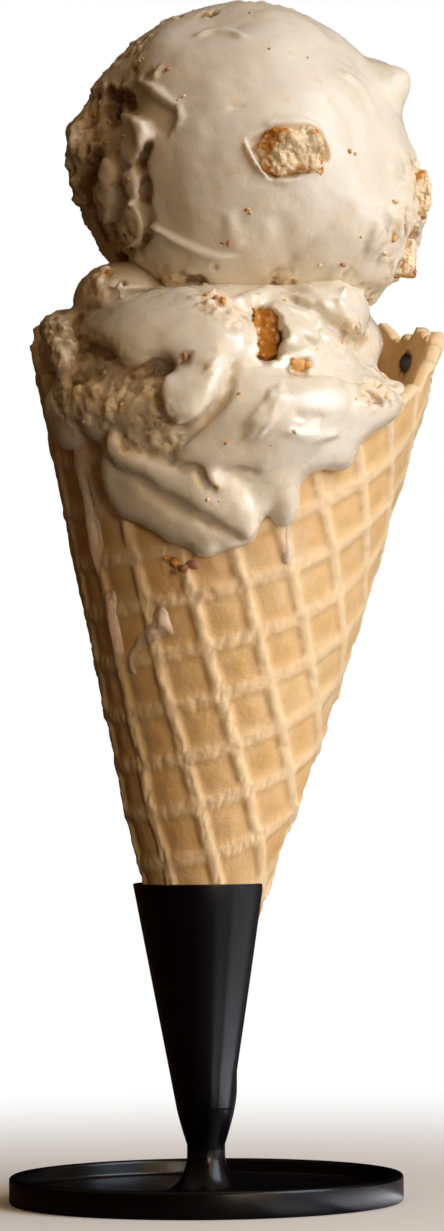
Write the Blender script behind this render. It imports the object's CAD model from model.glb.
import itertools
import math
import random

import bpy
import numpy as np
from bpy.props import FloatProperty, FloatVectorProperty, IntProperty, PointerProperty
from mathutils import Matrix, Vector, noise
from mathutils.bvhtree import BVHTree


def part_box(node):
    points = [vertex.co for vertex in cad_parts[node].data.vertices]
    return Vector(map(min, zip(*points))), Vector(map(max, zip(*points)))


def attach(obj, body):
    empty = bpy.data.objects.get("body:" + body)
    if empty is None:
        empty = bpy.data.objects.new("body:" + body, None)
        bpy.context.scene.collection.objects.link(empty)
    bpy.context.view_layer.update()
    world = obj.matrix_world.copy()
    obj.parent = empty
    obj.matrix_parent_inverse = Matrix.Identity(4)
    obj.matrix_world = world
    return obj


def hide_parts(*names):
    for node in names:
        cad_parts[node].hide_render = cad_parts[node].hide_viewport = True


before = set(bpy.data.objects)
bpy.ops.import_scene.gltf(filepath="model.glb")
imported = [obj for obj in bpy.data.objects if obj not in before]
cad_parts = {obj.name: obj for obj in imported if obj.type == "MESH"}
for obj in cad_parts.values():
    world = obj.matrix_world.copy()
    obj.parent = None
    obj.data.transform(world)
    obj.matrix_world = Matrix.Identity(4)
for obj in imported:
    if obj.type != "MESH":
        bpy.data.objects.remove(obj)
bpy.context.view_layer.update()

bl_info = {
    "name": "Ice cream cone",
    "version": (1, 0, 0),
    "blender": (4, 5, 0),
    "location": "3D View > Sidebar > Ice cream",
    "description": "Builds a double scoop in a rolled waffle cone that stands in a slotted holder",
    "category": "Add Mesh",
}

MM = 0.001
TURN = math.tau
DOUBLED = 0.01 * MM                     # points nearer than this are one point

HOLDER_LOW, HOLDER_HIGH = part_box("cone_holder")
CONE_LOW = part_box("waffle_cone")[0]
UPPER_LOW, UPPER_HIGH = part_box("upper_scoop")
LOWER_LOW, LOWER_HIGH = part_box("lower_scoop")
AXIS = (HOLDER_LOW + HOLDER_HIGH) / 2   # on the holder's own axis, at half its height

# The holder: its solid foot goes up to FUNNEL_FOOT, and the funnel's slotted sheet from there.
FUNNEL_FOOT = 17.0 * MM
FUNNEL_SLOPE = 0.1866                   # radius gained per height
NECK_TOP = 10.5 * MM
NECK_FOOT = 9.0 * MM
FLARE_RADIUS = 8.3 * MM                 # the stem's foot reaches this far over the tray
SLOT = (math.radians(-33), math.radians(45))
SLOT_CLOSES = 8.0 * MM                  # the slot narrows to nothing over this height
SLOT_CORNER = 2.1 * MM

# The cone's own frame: heights along it start at the point that its straight sides would meet in.
CONE_HALF_ANGLE = math.radians(14.3)
CONE_LEAN = math.radians(3.5)           # towards +X, as it leans in the holder
CONE_POINT = Vector((AXIS.x - 2.61 * MM, AXIS.y, CONE_LOW.z - 12.23 * MM))
CONE_TIP = 12.0 * MM
CONE_TIP_INSIDE = 26.0 * MM
CONE_RIM = 148.0 * MM
RIM_TEETH = 1.9 * MM                    # height of the broken teeth along the rim
RIM_TILT = 4.0 * MM                     # the rim is higher at the back, on the right
RIM_TILT_AT = math.radians(65)
RIM_DIP = 10.5 * MM                     # the front half of the rim has broken down lower
RIM_DIP_HALF = math.radians(99)
RIM_DIP_EDGE = math.radians(32)
FRONT = math.radians(-90)
LAP_HEIGHT = 0.8 * MM                   # step of the rolled sheet's outer edge
LAP_LENGTH = math.radians(60)
LAP_FROM = 36.0 * MM
SEAM_AT = math.radians(-20)             # where the sheet's outer edge starts, up to SEAM_STRAIGHT
SEAM_STRAIGHT = 60.0 * MM
SEAM_SWING = math.radians(60) / (85.0 * MM)     # turn per height above that
SWELL = 0.7 * MM                        # the cone swells a little above the holder
SWELL_FROM = 50.0 * MM
SWELL_LENGTH = 14.0 * MM
RIDGE_TURN = math.radians(18.25)        # the crossed ridges against the sheet's middle line
RIDGE_PHASE = (-0.7 * MM, 5.4 * MM)
LIP_ROWS = 5                            # rows of faces over the rim's edge
INSIDE_ROWS = 34
HOLE_AT = (math.radians(24), 146.0 * MM)
HOLE_RADII = (4 * MM, 2.3 * MM, 1.7 * MM)       # outwards, round the cone and upwards

UPPER_CENTRE = (UPPER_LOW + UPPER_HIGH) / 2 + Vector((-0.56, 0.4, 0.01)) * MM
UPPER_RADIUS = 30.5 * MM
LOWER_CENTRE = Vector((LOWER_LOW.x + 34.8 * MM, LOWER_LOW.y + 39.4 * MM, LOWER_HIGH.z - 27.8 * MM))

# Pushes on the upper ball: azimuth, elevation (degrees), spread, height outwards (mm).
UPPER_PUSHES = {
    "bump_right": (-9, 28, 3.4, 4.4),
    "bump_right_back": (6, 31, 3.6, 3.6),
    "bump_right_tail": (21, 33, 4.0, 2.2),
    "dent_above_bump": (-35, 42, 8.0, -1.6),
    "dent_top": (-107, 57, 6.0, -1.3),
    "torn_hollow": (-146, 17, 5.5, -2.6),
    "torn_bulge": (-171, 9, 10.0, 2.4),
    "torn_foot": (-158, -36, 8.0, -1.5),
    "chunk_brow": (-71, 11, 6.0, 0.6),
    "ragged_right": (-14, -8, 8.0, 1.8),
    "ragged_lap": (-22, -24, 10.0, 2.2),
    "skirt_front": (-38, -36, 9.0, 2.6),
    "skirt_right": (-4, -33, 11.0, 2.8),
    "skirt_back": (38, -33, 12.0, 2.6),
    "back_hollow": (95, 12, 9.0, -2.0),
    "back_ridge": (130, -12, 8.0, 1.4),
}

# Strokes and sheets are placed as a viewer in front of the cone sees them: x and height of each bend
# from the scoop's middle, measured on the upright plane through that middle (mm).
VIEWER = Vector((3.78, -920, 84.6)) * MM

# Strokes on the upper ball: bends, half width and height outwards (mm).
UPPER_STROKES = {
    "seam_ridge": (((-18.1, -9.9), (-15.3, -11.4), (-11.6, -13.6), (-8.5, -15.1), (-5.5, -15.9),
                    (-1.5, -16.3)), 0.8, 1.1),
    "under_seam": (((-16.0, -13.0), (-11.6, -15.6), (-6.0, -17.6)), 1.8, -0.7),
    "high_ridge": (((-19.3, 16.5), (-16.8, 15.0), (-14.1, 12.8), (-11.9, 11.6)), 0.8, 0.9),
    "high_ridge_tail": (((-11.9, 11.6), (-11.6, 9.4), (-11.9, 7.3)), 0.8, 0.6),
    "small_fold": (((-11.6, 8.5), (-13.5, 5.8)), 0.7, 0.6),
    "high_pit": (((-23.9, 14.0), (-22.9, 12.2)), 1.3, -3.6),
    "high_pit_low": (((-24.1, 11.2), (-23.2, 9.0)), 1.2, -3.0),
    "brown_pit": (((-21.2, 13.6), (-20.4, 12.0)), 1.1, -2.4),
    "side_pit": (((-17.4, 4.2), (-18.6, 1.2)), 0.9, -3.0),
    "side_pit_low": (((-17.8, -2.6), (-17.7, -5.4)), 1.0, -2.4),
    "crevice": (((-26.9, 2.4), (-27.8, -0.6), (-29.0, -3.4)), 1.5, -4.6),
    "crevice_foot": (((-28.6, -4.0), (-27.6, -8.0), (-25.6, -12.6)), 0.9, -2.0),
    "curl_shadow": (((-19.2, -6.6), (-17.9, -8.9), (-17.5, -11.6), (-18.8, -14.4)), 0.7, -1.2),
    "foot_pit": (((-22.6, -16.6), (-20.6, -18.4)), 1.3, -2.0),
    "low_notch": (((-9.2, -20.4), (-7.8, -20.8)), 0.9, -1.8),
    "low_nick": (((-5.5, -17.6), (-5.4, -18.8)), 0.5, -1.0),
    "brow": (((3.6, 8.0), (7.0, 8.6), (11.5, 8.5), (14.6, 7.0)), 0.9, 0.7),
    "mouth_left": (((0.6, 5.0), (1.4, 2.6), (3.2, 0.0), (5.0, -2.0)), 0.6, 0.9),
    "mouth_nose": (((13.6, -0.2), (13.4, 0.8)), 1.3, 1.6),
    "mouth_sill": (((5.6, -2.4), (8.0, -2.5), (10.6, -1.9)), 0.8, 0.6),
    "right_groove": (((16.5, 14.0), (20.0, 8.0), (21.5, 2.0)), 2.2, -0.5),
    "ripple_first": (((-3.0, -8.0), (-2.0, -12.0), (-0.9, -15.0)), 1.6, 0.35),
    "ripple_second": (((6.0, -8.0), (8.0, -14.0), (8.6, -18.0)), 2.4, -0.4),
    "scratch": (((-2.4, 11.2), (0.4, 11.4)), 0.5, -0.35),
    "top_fold": (((-9.0, 24.5), (-4.0, 25.6), (1.0, 24.0)), 1.2, 0.6),
    "bump_tail": (((18.0, 17.5), (22.0, 14.6), (24.5, 9.5)), 1.5, 0.5),
}
# Strokes round the back of the upper ball: azimuth and elevation of each bend (degrees).
UPPER_BACK_STROKES = {
    "back_seam": (((60, -20), (95, -28), (130, -22), (160, -8)), 1.6, 1.0),
    "back_scrape": (((70, 30), (105, 36), (140, 26)), 3.5, -0.8),
    "back_lap": (((30, 8), (52, 14), (70, 4)), 1.4, 0.8),
}
# Overlapping sheets of cream: corners with how wide the sheet's edge is there, height, and how deep the
# surface is tucked in beyond its narrow edges (mm). A sheet with a height below 0 is a hollow.
UPPER_SHEETS = {
    "side_hollow": (((-31.0, 12.0, 3.0), (-26.0, 15.0, 3.0), (-21.0, 13.5, 2.0), (-19.0, 6.0, 1.5),
                     (-17.5, 0.0, 1.2), (-17.4, -6.0, 1.2), (-17.0, -11.0, 1.2), (-19.0, -15.5, 1.5),
                     (-24.0, -17.0, 2.5), (-31.0, -9.0, 3.0)), -1.3, 0),
    "scraped_hollow": (((-19.3, 15.9, 0.8), (-14.1, 12.5, 0.8), (-12.2, 11.0, 0.8), (-12.1, 7.0, 2.0),
                        (-14.1, 5.8, 2.5), (-16.5, 7.0, 1.5), (-19.9, 10.1, 1.5), (-21.7, 11.3, 1.5),
                        (-20.8, 14.7, 2.0)), -0.9, 0),
    "side_leaf": (((-22.4, 10.4, 1.0), (-19.9, 9.6, 1.0), (-17.5, 8.1, 1.0), (-16.6, 6.4, 1.0),
                   (-18.0, 4.3, 1.0), (-18.7, 2.1, 1.2), (-20.8, 0.2, 2.0), (-23.3, 2.7, 2.0),
                   (-23.0, 6.4, 2.0), (-22.7, 8.5, 1.5)), 2.2, 0.5),
    "side_leaf_low": (((-20.8, 0.6, 1.0), (-19.1, -1.6, 0.8), (-19.2, -5.9, 0.8), (-20.8, -6.8, 1.0),
                       (-22.4, -4.7, 1.5), (-22.9, -1.0, 1.5)), 1.9, 0.4),
    "side_leaf_back": (((-25.6, 2.5, 1.0), (-24.0, 1.0, 0.9), (-24.0, -4.0, 0.9), (-24.6, -9.0, 0.9),
                        (-26.0, -10.0, 1.5), (-27.2, -5.0, 1.5), (-27.0, 0.0, 1.5)), 1.8, 0.3),
    "curl": (((-22.0, -6.4, 1.0), (-19.8, -6.3, 0.8), (-18.6, -8.7, 0.7), (-18.2, -11.4, 0.7),
              (-19.3, -13.8, 0.7), (-21.7, -14.4, 1.0), (-23.3, -12.0, 1.5), (-22.7, -9.0, 1.5)), 1.8, 0.4),
    "skirt_lap": (((6.0, -21.5, 1.5), (9.0, -17.0, 5.0), (15.0, -12.0, 5.0), (22.0, -6.0, 5.0),
                   (30.0, -8.0, 2.0), (29.0, -18.0, 2.0), (21.0, -25.0, 1.0), (12.0, -24.5, 1.0)), 0.9, 0),
}

# Torn patches of a scoop, where crumbs and air show: azimuth, elevation (degrees) and radius (mm).
UPPER_TORN = (
    (-158, 20, 6.5), (-164, 4, 8.0), (-146, -2, 4.5), (-152, -14, 7.5), (-166, -24, 8.0),
    (-146, -32, 6.0), (-176, 14, 9.0), (178, -8, 11.0), (-12, -14, 8.0), (-22, -30, 8.0),
    (-4, -34, 11.0), (18, -26, 12.0), (-34, -44, 6.0), (44, -40, 10.0), (160, -30, 10.0),
    (80, -44, 10.0), (118, -42, 9.0), (2, -2, 6.0), (-130, -52, 6.0), (-146, 24, 3.0),
    (-166, 40, 5.0), (-172, 54, 4.0), (-60, 84, 3.5), (-20, 74, 3.0), (-140, 35, 2.5), (-150, 46, 3.0),
    (-128, 29, 2.0), (-136, -12, 2.0), (-150, 60, 2.5), (-120, 66, 2.0), (-45, -52, 4.0), (-70, -48, 3.0),
)
# Ragged lumps that stand out of the torn patches: azimuth, elevation and spread (degrees), count, and
# radii (mm).
UPPER_RAGS = (
    (-172, -8, 12, 22, (0.7, 1.5)), (-160, -36, 10, 14, (0.7, 1.5)), (-10, -16, 12, 34, (0.5, 1.3)),
    (-18, -38, 12, 34, (0.7, 1.6)), (12, -36, 18, 40, (0.8, 1.9)), (55, -42, 20, 26, (0.8, 1.8)),
    (120, -44, 24, 24, (0.8, 1.6)), (-120, -52, 10, 10, (0.5, 1.0)),
)

FRONT_LIMIT = LOWER_LOW.y - 1.7 * MM    # beyond this the melted cream is pressed flatter

# Lumps that the lower scoop is packed from: centre from its middle and radii (mm), turn (degrees).
LOWER_LUMPS = {
    "mantle": ((0.9, -1.3, -1.0), (33.3, 33.9, 15.5), 0),
    "crown": ((1.4, 0, 13.0), (27.8, 28.0, 13.6), 0),
    "front": ((-1.0, -12.0, 6.5), (26.0, 24.0, 15.5), 0),
    "shoulder": ((-18.2, -6.0, 20.4), (9.6, 12.0, 7.4), 0),
    "shoulder_back": ((-12.6, 15.5, 20.0), (13.0, 11.0, 6.0), 30),
    "rim_lump": ((-28.2, -4.5, 12.2), (6.0, 10.0, 6.2), 0),
    "rim_lump_back": ((-21.6, 17.2, 13.0), (7.0, 7.0, 5.0), 0),
    "right_lip": ((28.0, -9.5, 2.4), (4.2, 6.5, 3.4), 60),
    "crown_right": ((17.4, -12.5, 17.3), (9.4, 12.0, 7.6), 0),
    "packing": ((-5.0, -25.5, -1.0), (13.0, 11.0, 6.5), 0),
    "blob": ((-24.2, -24.6, -1.4), (1.8, 3.6, 2.9), -10),
}

# Lower edge of the melted cream on the outside of the cone, as the viewer sees it (mm).
APRON_EDGE = (
    (-33.0, 13.6), (-32.0, 12.0), (-31.0, 9.8), (-29.9, 8.0), (-31.2, 6.0), (-33.2, 3.9), (-32.7, 0.4),
    (-31.3, -3.5), (-29.9, -5.4), (-28.0, -4.8), (-27.1, -2.4), (-25.9, -1.4), (-24.7, -3.4),
    (-23.0, -3.6), (-22.3, -3.8), (-22.3, -7.9), (-22.9, -10.2), (-21.9, -13.3), (-20.2, -16.6),
    (-18.3, -18.3), (-13.5, -20.0), (-10.6, -21.9), (-6.3, -23.3), (-3.9, -25.1), (-1.5, -23.5),
    (1.3, -23.1), (4.9, -22.8), (5.3, -19.5), (6.1, -16.6), (8.5, -15.6), (9.6, -18.8), (11.2, -20.0),
    (12.7, -18.0), (12.1, -12.3), (14.7, -9.4), (18.6, -8.9), (21.0, -10.1), (22.9, -8.9),
    (23.6, -5.6), (26.7, -2.7), (30.5, -0.6), (33.6, 2.5),
)
APRON_THICKNESS = 2.2 * MM
APRON_SWELL = 0.9 * MM                  # it is thicker towards the rim
APRON_ROUNDING = 2.2 * MM               # over this distance the edge reaches its full thickness
APRON_REACH = 35.5                      # the cone's radius there (mm), which lays its azimuths out flat

# Overlapping sheets and strokes on the lower scoop, given as those of the upper ball are.
LOWER_SHEETS = {
    "right_mass": (((1.3, 8.3, 1.6), (0.2, 2.5, 1.6), (-3.9, -1.8, 1.6), (-8.2, -5.6, 1.6),
                    (-9.4, -8.5, 1.6), (-5.4, -8.9, 1.6), (-3.4, -12.3, 1.6), (-1.5, -13.5, 1.6),
                    (-0.8, -10.4, 1.6), (2.3, -9.8, 1.8), (6.1, -10.1, 5.0), (10.9, -8.9, 6.0),
                    (18.1, -6.1, 8.0), (22.9, 1.1, 8.0), (20.5, 7.3, 6.0), (10.9, 8.3, 5.0)), 1.35, 0.5),
    "apron_fold": (((-21.4, -2.7, 1.6), (-21.9, -6.1, 1.6), (-19.7, -9.2, 2.0), (-15.9, -10.9, 2.0),
                    (-12.1, -13.3, 2.0), (-7.3, -16.1, 2.0), (-3.4, -18.5, 2.0), (0.4, -20.9, 2.0),
                    (3.5, -22.8, 2.0), (5.4, -21.4, 2.0), (5.6, -17.6, 5.0), (1.3, -10.9, 6.0),
                    (-5.4, -9.9, 5.0), (-9.7, -9.4, 3.0), (-13.0, -8.5, 1.6), (-17.8, -6.1, 1.6),
                    (-20.2, -3.0, 1.4)), 1.4, 0.9),
    "lobe": (((-25.9, 14.5, 1.6), (-23.1, 13.1, 1.5), (-19.7, 11.5, 1.5), (-17.8, 9.2, 1.5),
              (-15.4, 8.7, 1.5), (-13.0, 10.0, 1.5), (-10.6, 10.4, 1.5), (-8.9, 9.2, 1.5),
              (-9.7, 7.3, 1.4), (-11.5, 4.9, 1.4), (-11.1, 1.6, 1.4), (-9.2, -0.9, 1.4),
              (-6.8, -1.3, 1.6), (-3.4, 1.1, 1.8), (-0.6, 4.0, 2.0), (0.9, 7.3, 2.4),
              (2.3, 9.7, 6.0), (4.7, 13.1, 8.0), (3.3, 17.8, 7.0), (1.3, 21.2, 6.0), (-5.4, 23.1, 6.0),
              (-13.0, 22.6, 5.0), (-20.2, 21.7, 4.0), (-25.0, 19.3, 3.0), (-26.4, 16.4, 2.0)), 3.1, 1.2),
    "rim_fold": (((-34.5, 18.0, 2.0), (-28.0, 19.5, 2.0), (-26.9, 15.4, 1.2), (-27.4, 10.5, 1.2),
                  (-29.5, 7.8, 1.0), (-31.0, 9.8, 1.0), (-32.2, 12.6, 1.2)), 1.2, 0.3),
    "flake_left": (((8.5, 20.7, 1.0), (15.7, 21.2, 3.0), (18.6, 17.8, 3.0), (17.6, 13.5, 3.0),
                    (13.8, 12.1, 1.5), (10.4, 12.1, 1.0), (9.5, 15.9, 0.9), (7.8, 18.3, 0.9)), 1.8, 0.6),
    "flake_right": (((1.3, 20.2, 1.0), (6.1, 23.1, 3.0), (15.7, 23.6, 3.0), (20.5, 21.7, 3.0),
                     (25.3, 16.9, 2.0), (26.0, 13.1, 1.0), (21.9, 16.4, 1.0), (16.7, 19.4, 1.0),
                     (9.5, 20.7, 1.0), (5.6, 19.8, 1.0)), 1.9, 0.7),
}

LOWER_STROKES = {
    "cave": (((-16.6, 7.9), (-13.0, 9.0), (-9.6, 8.2)), 1.3, -2.6),
    "cave_left": (((-25.0, 13.0), (-20.4, 11.4)), 1.1, -2.2),
    "dimple": (((-7.5, 10.6), (-7.2, 10.2)), 1.3, -2.4),
    "crease": (((2.3, 9.7), (1.2, 7.3), (0.2, 3.0), (-3.7, -1.4), (-8.4, -5.2)), 1.0, -1.3),
    "tongue_foot": (((-12.0, 4.5), (-11.7, 1.6), (-9.5, -1.6), (-6.8, -2.1)), 0.9, -1.0),
    "tall_pocket": (((7.4, 18.8), (8.3, 15.9), (8.3, 13.1), (7.8, 10.2)), 1.4, -2.6),
    "side_pocket": (((12.3, 8.3), (15.7, 9.7)), 1.2, -1.6),
    "fold_valley": (((-16.4, -12.2), (-11.6, -15.4), (-6.3, -18.6), (-2.5, -20.8)), 1.5, -0.6),
    "fold_upper": (((-9.2, -9.0), (-5.4, -9.6), (-3.8, -12.6), (-1.5, -14.0)), 0.9, -0.8),
    "fold_small": (((-1.1, -10.7), (2.4, -10.4), (6.1, -10.8)), 0.9, -0.7),
    "dab_first": (((5.2, 0.8), (8.6, -2.2)), 3.6, 1.0),
    "dab_second": (((7.6, 3.6), (11.6, 2.4)), 2.4, 1.2),
    "dab_third": (((-3.0, 9.6), (-2.0, 8.6)), 1.5, 0.7),
    "rim_pit": (((27.6, 3.6), (28.8, 2.2)), 1.1, -1.4),
    "crown_groove": (((12.0, 20.0), (16.5, 17.5), (19.5, 13.0)), 0.9, -1.0),
    "crown_fold": (((14.5, 14.5), (18.5, 11.5), (23.5, 9.5)), 1.1, -0.9),
    "mass_fold": (((12.5, 0.0), (15.5, -0.7), (18.5, -0.5)), 1.0, -0.4),
    "mass_ridge": (((11.0, -3.0), (16.0, -4.2), (21.5, -3.6)), 1.3, 0.6),
    "rim_slit": (((-26.5, 18.4), (-26.9, 15.0)), 0.8, -2.0),
    "shoulder_pit": (((-20.8, 24.0), (-18.4, 24.6)), 0.8, -2.0),
    "shoulder_fold": (((-25.0, 20.1), (-22.4, 20.6), (-18.8, 22.4), (-12.6, 23.3)), 1.0, -1.5),
    "smear_streak": (((-31.8, 3.9), (-30.6, 1.6), (-29.7, -0.5)), 0.7, -0.7),
    "crown_pit": (((-2.4, 21.4), (0.2, 20.4)), 0.9, -1.2),
}
# Torn patches of the lower scoop, as the viewer sees them: x, height and radius (mm).
LOWER_TORN = (
    (-22, 9, 4.5), (-16, 6, 4.0), (-21, 4, 5.0), (-15, 2, 4.0), (-18, -1, 5.0), (-13, -3, 4.5),
    (-17, -4, 4.0), (-10, -5, 2.5), (-29, 4, 3.0), (-27, 0, 2.4), (-25, 7, 4.0), (-31, 16, 5.0),
    (-28, 12, 4.0), (-24, 25, 4.0), (-2, 21, 3.0), (2, 18, 2.4), (28, 4, 3.4), (31, 4, 2.6),
    (9, 14, 2.0), (14, 9, 2.0), (24, 15, 3.0),
)
# Ragged lumps of the lower scoop, as the viewer sees them: x, height and spread (mm), count, radii (mm).
LOWER_RAGS = (
    (-31, 14, 4.0, 16, (0.6, 1.3)), (-29, 6, 4.0, 18, (0.5, 1.1)), (-27, 0, 2.6, 9, (0.4, 0.9)),
    (-24, 25, 4.0, 14, (0.6, 1.2)), (30, 4, 2.5, 10, (0.5, 1.1)), (22, 21, 4.0, 8, (0.6, 1.2)),
    (-15, 8, 2.0, 6, (0.4, 0.7)), (-2, 21.5, 3.0, 8, (0.4, 0.9)),
)

# Biscuit chunks: the way each faces (azimuth and elevation, degrees), its size against its box, how far
# it is moved outwards (mm), how much of it is crust, and the seed of its shape.
CHUNKS = {
    "biscuit_chunk_front": (-62, 3, 1.09, 0.45, 0.0, 3),
    "biscuit_chunk_right": (-30, -10, 1.12, 0.7, 0.35, 8),
    "biscuit_chunk_skirt": (-30, -31, 1.12, 0.7, 0.35, 5),
    "biscuit_chunk_low": (-82, 4, 1.24, 1.6, 0.7, 11),
}
# The pocket round the front chunk, as the viewer sees it: corners and the width of its edge (mm).
FRONT_POCKET = {
    "front_pocket": (((0.6, 5.0, 0.6), (1.7, 2.4, 0.5), (3.4, 0.0, 0.5), (5.2, -1.9, 0.5), (7.5, -2.1, 0.5),
                      (10.0, -1.5, 0.5), (11.7, -0.4, 0.5), (13.2, 1.0, 0.5), (15.0, 0.7, 0.5),
                      (15.9, 2.0, 0.6), (15.3, 4.6, 0.6), (14.2, 6.5, 0.6), (12.7, 7.4, 0.5),
                      (9.2, 7.6, 0.5), (6.8, 7.5, 0.5), (4.2, 7.0, 0.5), (2.4, 6.0, 0.6)), -1.5, 0),
}

# Single crumbs that lie in view: x and height as the viewer sees them from a scoop's middle, and
# radius (mm).
UPPER_CRUMBS = {
    "orange": ((-27.1, 10.1, 0.9), (-21.2, -1.8, 0.5), (0.7, -7.7, 0.6), (1.2, -8.3, 0.4), (19.7, 2.9, 0.5),
               (20.6, 2.4, 0.35), (27.6, -13.4, 0.8), (-22.0, 6.0, 0.5), (-25.4, 5.0, 0.6), (9.2, 7.2, 0.5)),
    "golden": ((-10.8, 13.4, 0.4), (-22.7, -12.9, 0.6), (27.9, -6.5, 0.7), (21.7, -12.9, 0.4),
               (-24.6, 8.6, 0.7), (-23.0, 3.4, 0.6), (14.0, -18.0, 0.4), (26.0, -16.0, 0.6)),
    "reddish": ((-13.6, 18.4, 0.55), (-2.8, -13.8, 0.7), (-4.0, -13.9, 0.4), (18.3, -18.0, 0.6),
                (5.0, 22.0, 0.35)),
}
LOWER_CRUMBS = {
    "orange": ((13.6, 9.0, 1.5), (15.2, 9.2, 0.9), (12.6, 9.8, 0.8), (-3.4, 22.2, 0.7), (-0.1, 21.2, 0.8),
               (0.1, -5.1, 0.4), (-1.5, -13.3, 0.55), (8.0, 10.4, 0.9), (7.7, 18.2, 0.7), (-15.0, 9.4, 0.6),
               (2.7, 3.9, 0.45), (-21.3, 26.6, 0.7), (-9.4, -27.0, 1.1), (-10.9, -26.2, 0.8)),
    "golden": ((-3.4, -15.6, 0.5), (12.8, -3.2, 0.5), (11.4, 21.0, 0.5), (-13.0, 5.4, 0.6), (27.7, 3.5, 0.8),
               (29.6, 3.0, 0.6), (17.0, 12.0, 0.4), (-32.0, 15.5, 0.6), (-22.0, 8.0, 0.6),
               (-19.0, 2.0, 0.6), (24.6, 16.0, 0.5)),
    "reddish": ((-7.3, 10.6, 1.1), (-6.2, -27.4, 1.3), (-7.8, -28.2, 1.1), (-9.5, -28.9, 0.7),
                (-1.6, 21.6, 0.6)),
}

# Thin films of melted cream on the waffle, as the viewer sees them (mm).
FILMS = (
    ((-12.6, -34.6), (-11.7, -36.0), (-10.8, -38.6), (-10.4, -40.4), (-13.4, -41.0), (-16.4, -42.4),
     (-18.0, -44.8), (-17.8, -48.0), (-19.0, -47.6), (-19.2, -43.6), (-17.2, -40.6), (-14.6, -38.8),
     (-13.9, -36.0)),
    ((10.8, -19.0), (12.6, -19.0), (12.2, -23.0), (12.9, -26.0), (12.2, -28.6), (11.0, -27.6),
     (11.2, -24.0)),
    ((-27.4, -10.8), (-25.4, -10.4), (-24.6, -13.0), (-24.2, -16.6), (-25.4, -17.0), (-26.4, -14.0)),
    ((-29.6, -3.6), (-27.0, -3.0), (-26.2, -8.0), (-25.6, -15.6), (-24.0, -24.0), (-24.6, -30.0),
     (-26.2, -25.0), (-27.4, -16.0), (-29.0, -9.6)),
    ((-23.6, -33.0), (-22.0, -32.0), (-21.4, -38.0), (-20.2, -44.0), (-21.4, -45.6), (-22.8, -40.0)),
)
FILM_THICKNESS = 0.22 * MM

# Lights: azimuth and elevation (degrees), distance and size (m), colour, height aimed at (m), how wide
# each spreads (degrees), and its share of the setting named with it.
LIGHTS = {
    "window": (-29, 25, 0.85, (0.50, 0.80), (0.86, 1.01, 1.24), 0.12, 180, "key_power", 1.0),
    "low_sill": (-72, 3, 0.70, (0.14, 0.09), (1.0, 0.88, 0.70), 0.085, 18, "sill_power", 1.0),
    "window_edge": (-58, 17, 0.95, (0.36, 0.8), (1.0, 0.68, 0.38), 0.12, 180, "key_power", 0.33),
}
CAMERA_PITCH = math.radians(1.43)
CAMERA_ROLL = math.radians(0.5)
CAMERA_LENS = 146.22


# ---------------------------------------------------------------- settings

class HolderSettings(bpy.types.PropertyGroup):
    """Sizes and finish of the holder."""
    tray_radius: FloatProperty(
        name="Tray radius", description="Radius of the round tray", unit="LENGTH",
        default=(HOLDER_HIGH.x - HOLDER_LOW.x) / 2)
    lip_height: FloatProperty(
        name="Lip height", description="Height of the tray's rim", unit="LENGTH", default=5.0 * MM)
    lip_wall: FloatProperty(
        name="Lip wall", description="Thickness of the tray's rim", unit="LENGTH", default=1.3 * MM)
    floor_height: FloatProperty(
        name="Tray floor", description="Height of the tray's floor", unit="LENGTH", default=2.1 * MM)
    neck_radius: FloatProperty(
        name="Neck radius", description="Radius of the stem where it is thinnest", unit="LENGTH",
        default=3.5 * MM)
    rim_radius: FloatProperty(
        name="Funnel radius", description="Outer radius of the funnel's rim", unit="LENGTH",
        default=13.05 * MM)
    wall: FloatProperty(
        name="Funnel wall", description="Thickness of the funnel", unit="LENGTH", default=0.6 * MM)
    colour: FloatVectorProperty(
        name="Colour", description="Colour of the satin coating", subtype="COLOR", size=3, min=0, max=1,
        default=(0.0012, 0.0012, 0.0020))


class ConeSettings(bpy.types.PropertyGroup):
    """Ridges and baking of the waffle cone."""
    pitch: FloatProperty(
        name="Ridge pitch", description="From one ridge to the next on the flat sheet", unit="LENGTH",
        default=9.32 * MM)
    height: FloatProperty(
        name="Ridge height", description="Height of the ridges over the pockets", unit="LENGTH",
        default=0.68 * MM)
    wall: FloatProperty(
        name="Wall", description="Thickness of the cone from crest to inside", unit="LENGTH",
        default=2.6 * MM)
    columns: IntProperty(
        name="Columns", description="Faces round the cone", default=380, min=40)
    rows: IntProperty(
        name="Rows", description="Faces from the tip to the rim", default=205, min=20)
    crest: FloatVectorProperty(
        name="Ridge colour", description="Colour of the pale ridges", subtype="COLOR", size=3, min=0, max=1,
        default=(0.90, 0.67, 0.385))
    pocket: FloatVectorProperty(
        name="Pocket colour", description="Colour of the baked pockets", subtype="COLOR", size=3, min=0,
        max=1, default=(0.80, 0.52, 0.23))
    toast: FloatVectorProperty(
        name="Toast colour", description="Colour of the browned spots", subtype="COLOR", size=3, min=0,
        max=1, default=(0.68, 0.36, 0.09))


class CreamSettings(bpy.types.PropertyGroup):
    """Grain and colour of the ice cream."""
    grain: FloatProperty(
        name="Grain", description="Size of the mesh that the scoops are modelled in", unit="LENGTH",
        default=0.5 * MM)
    colour: FloatVectorProperty(
        name="Cream", description="Colour of the smooth cream", subtype="COLOR", size=3, min=0, max=1,
        default=(0.85, 0.755, 0.585))
    torn: FloatVectorProperty(
        name="Torn cream", description="Colour of the torn, crumbly cream", subtype="COLOR", size=3,
        min=0, max=1, default=(0.85, 0.66, 0.39))
    pit: FloatVectorProperty(
        name="Pits", description="Colour deep in the pits", subtype="COLOR", size=3, min=0, max=1,
        default=(0.26, 0.12, 0.033))


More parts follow.
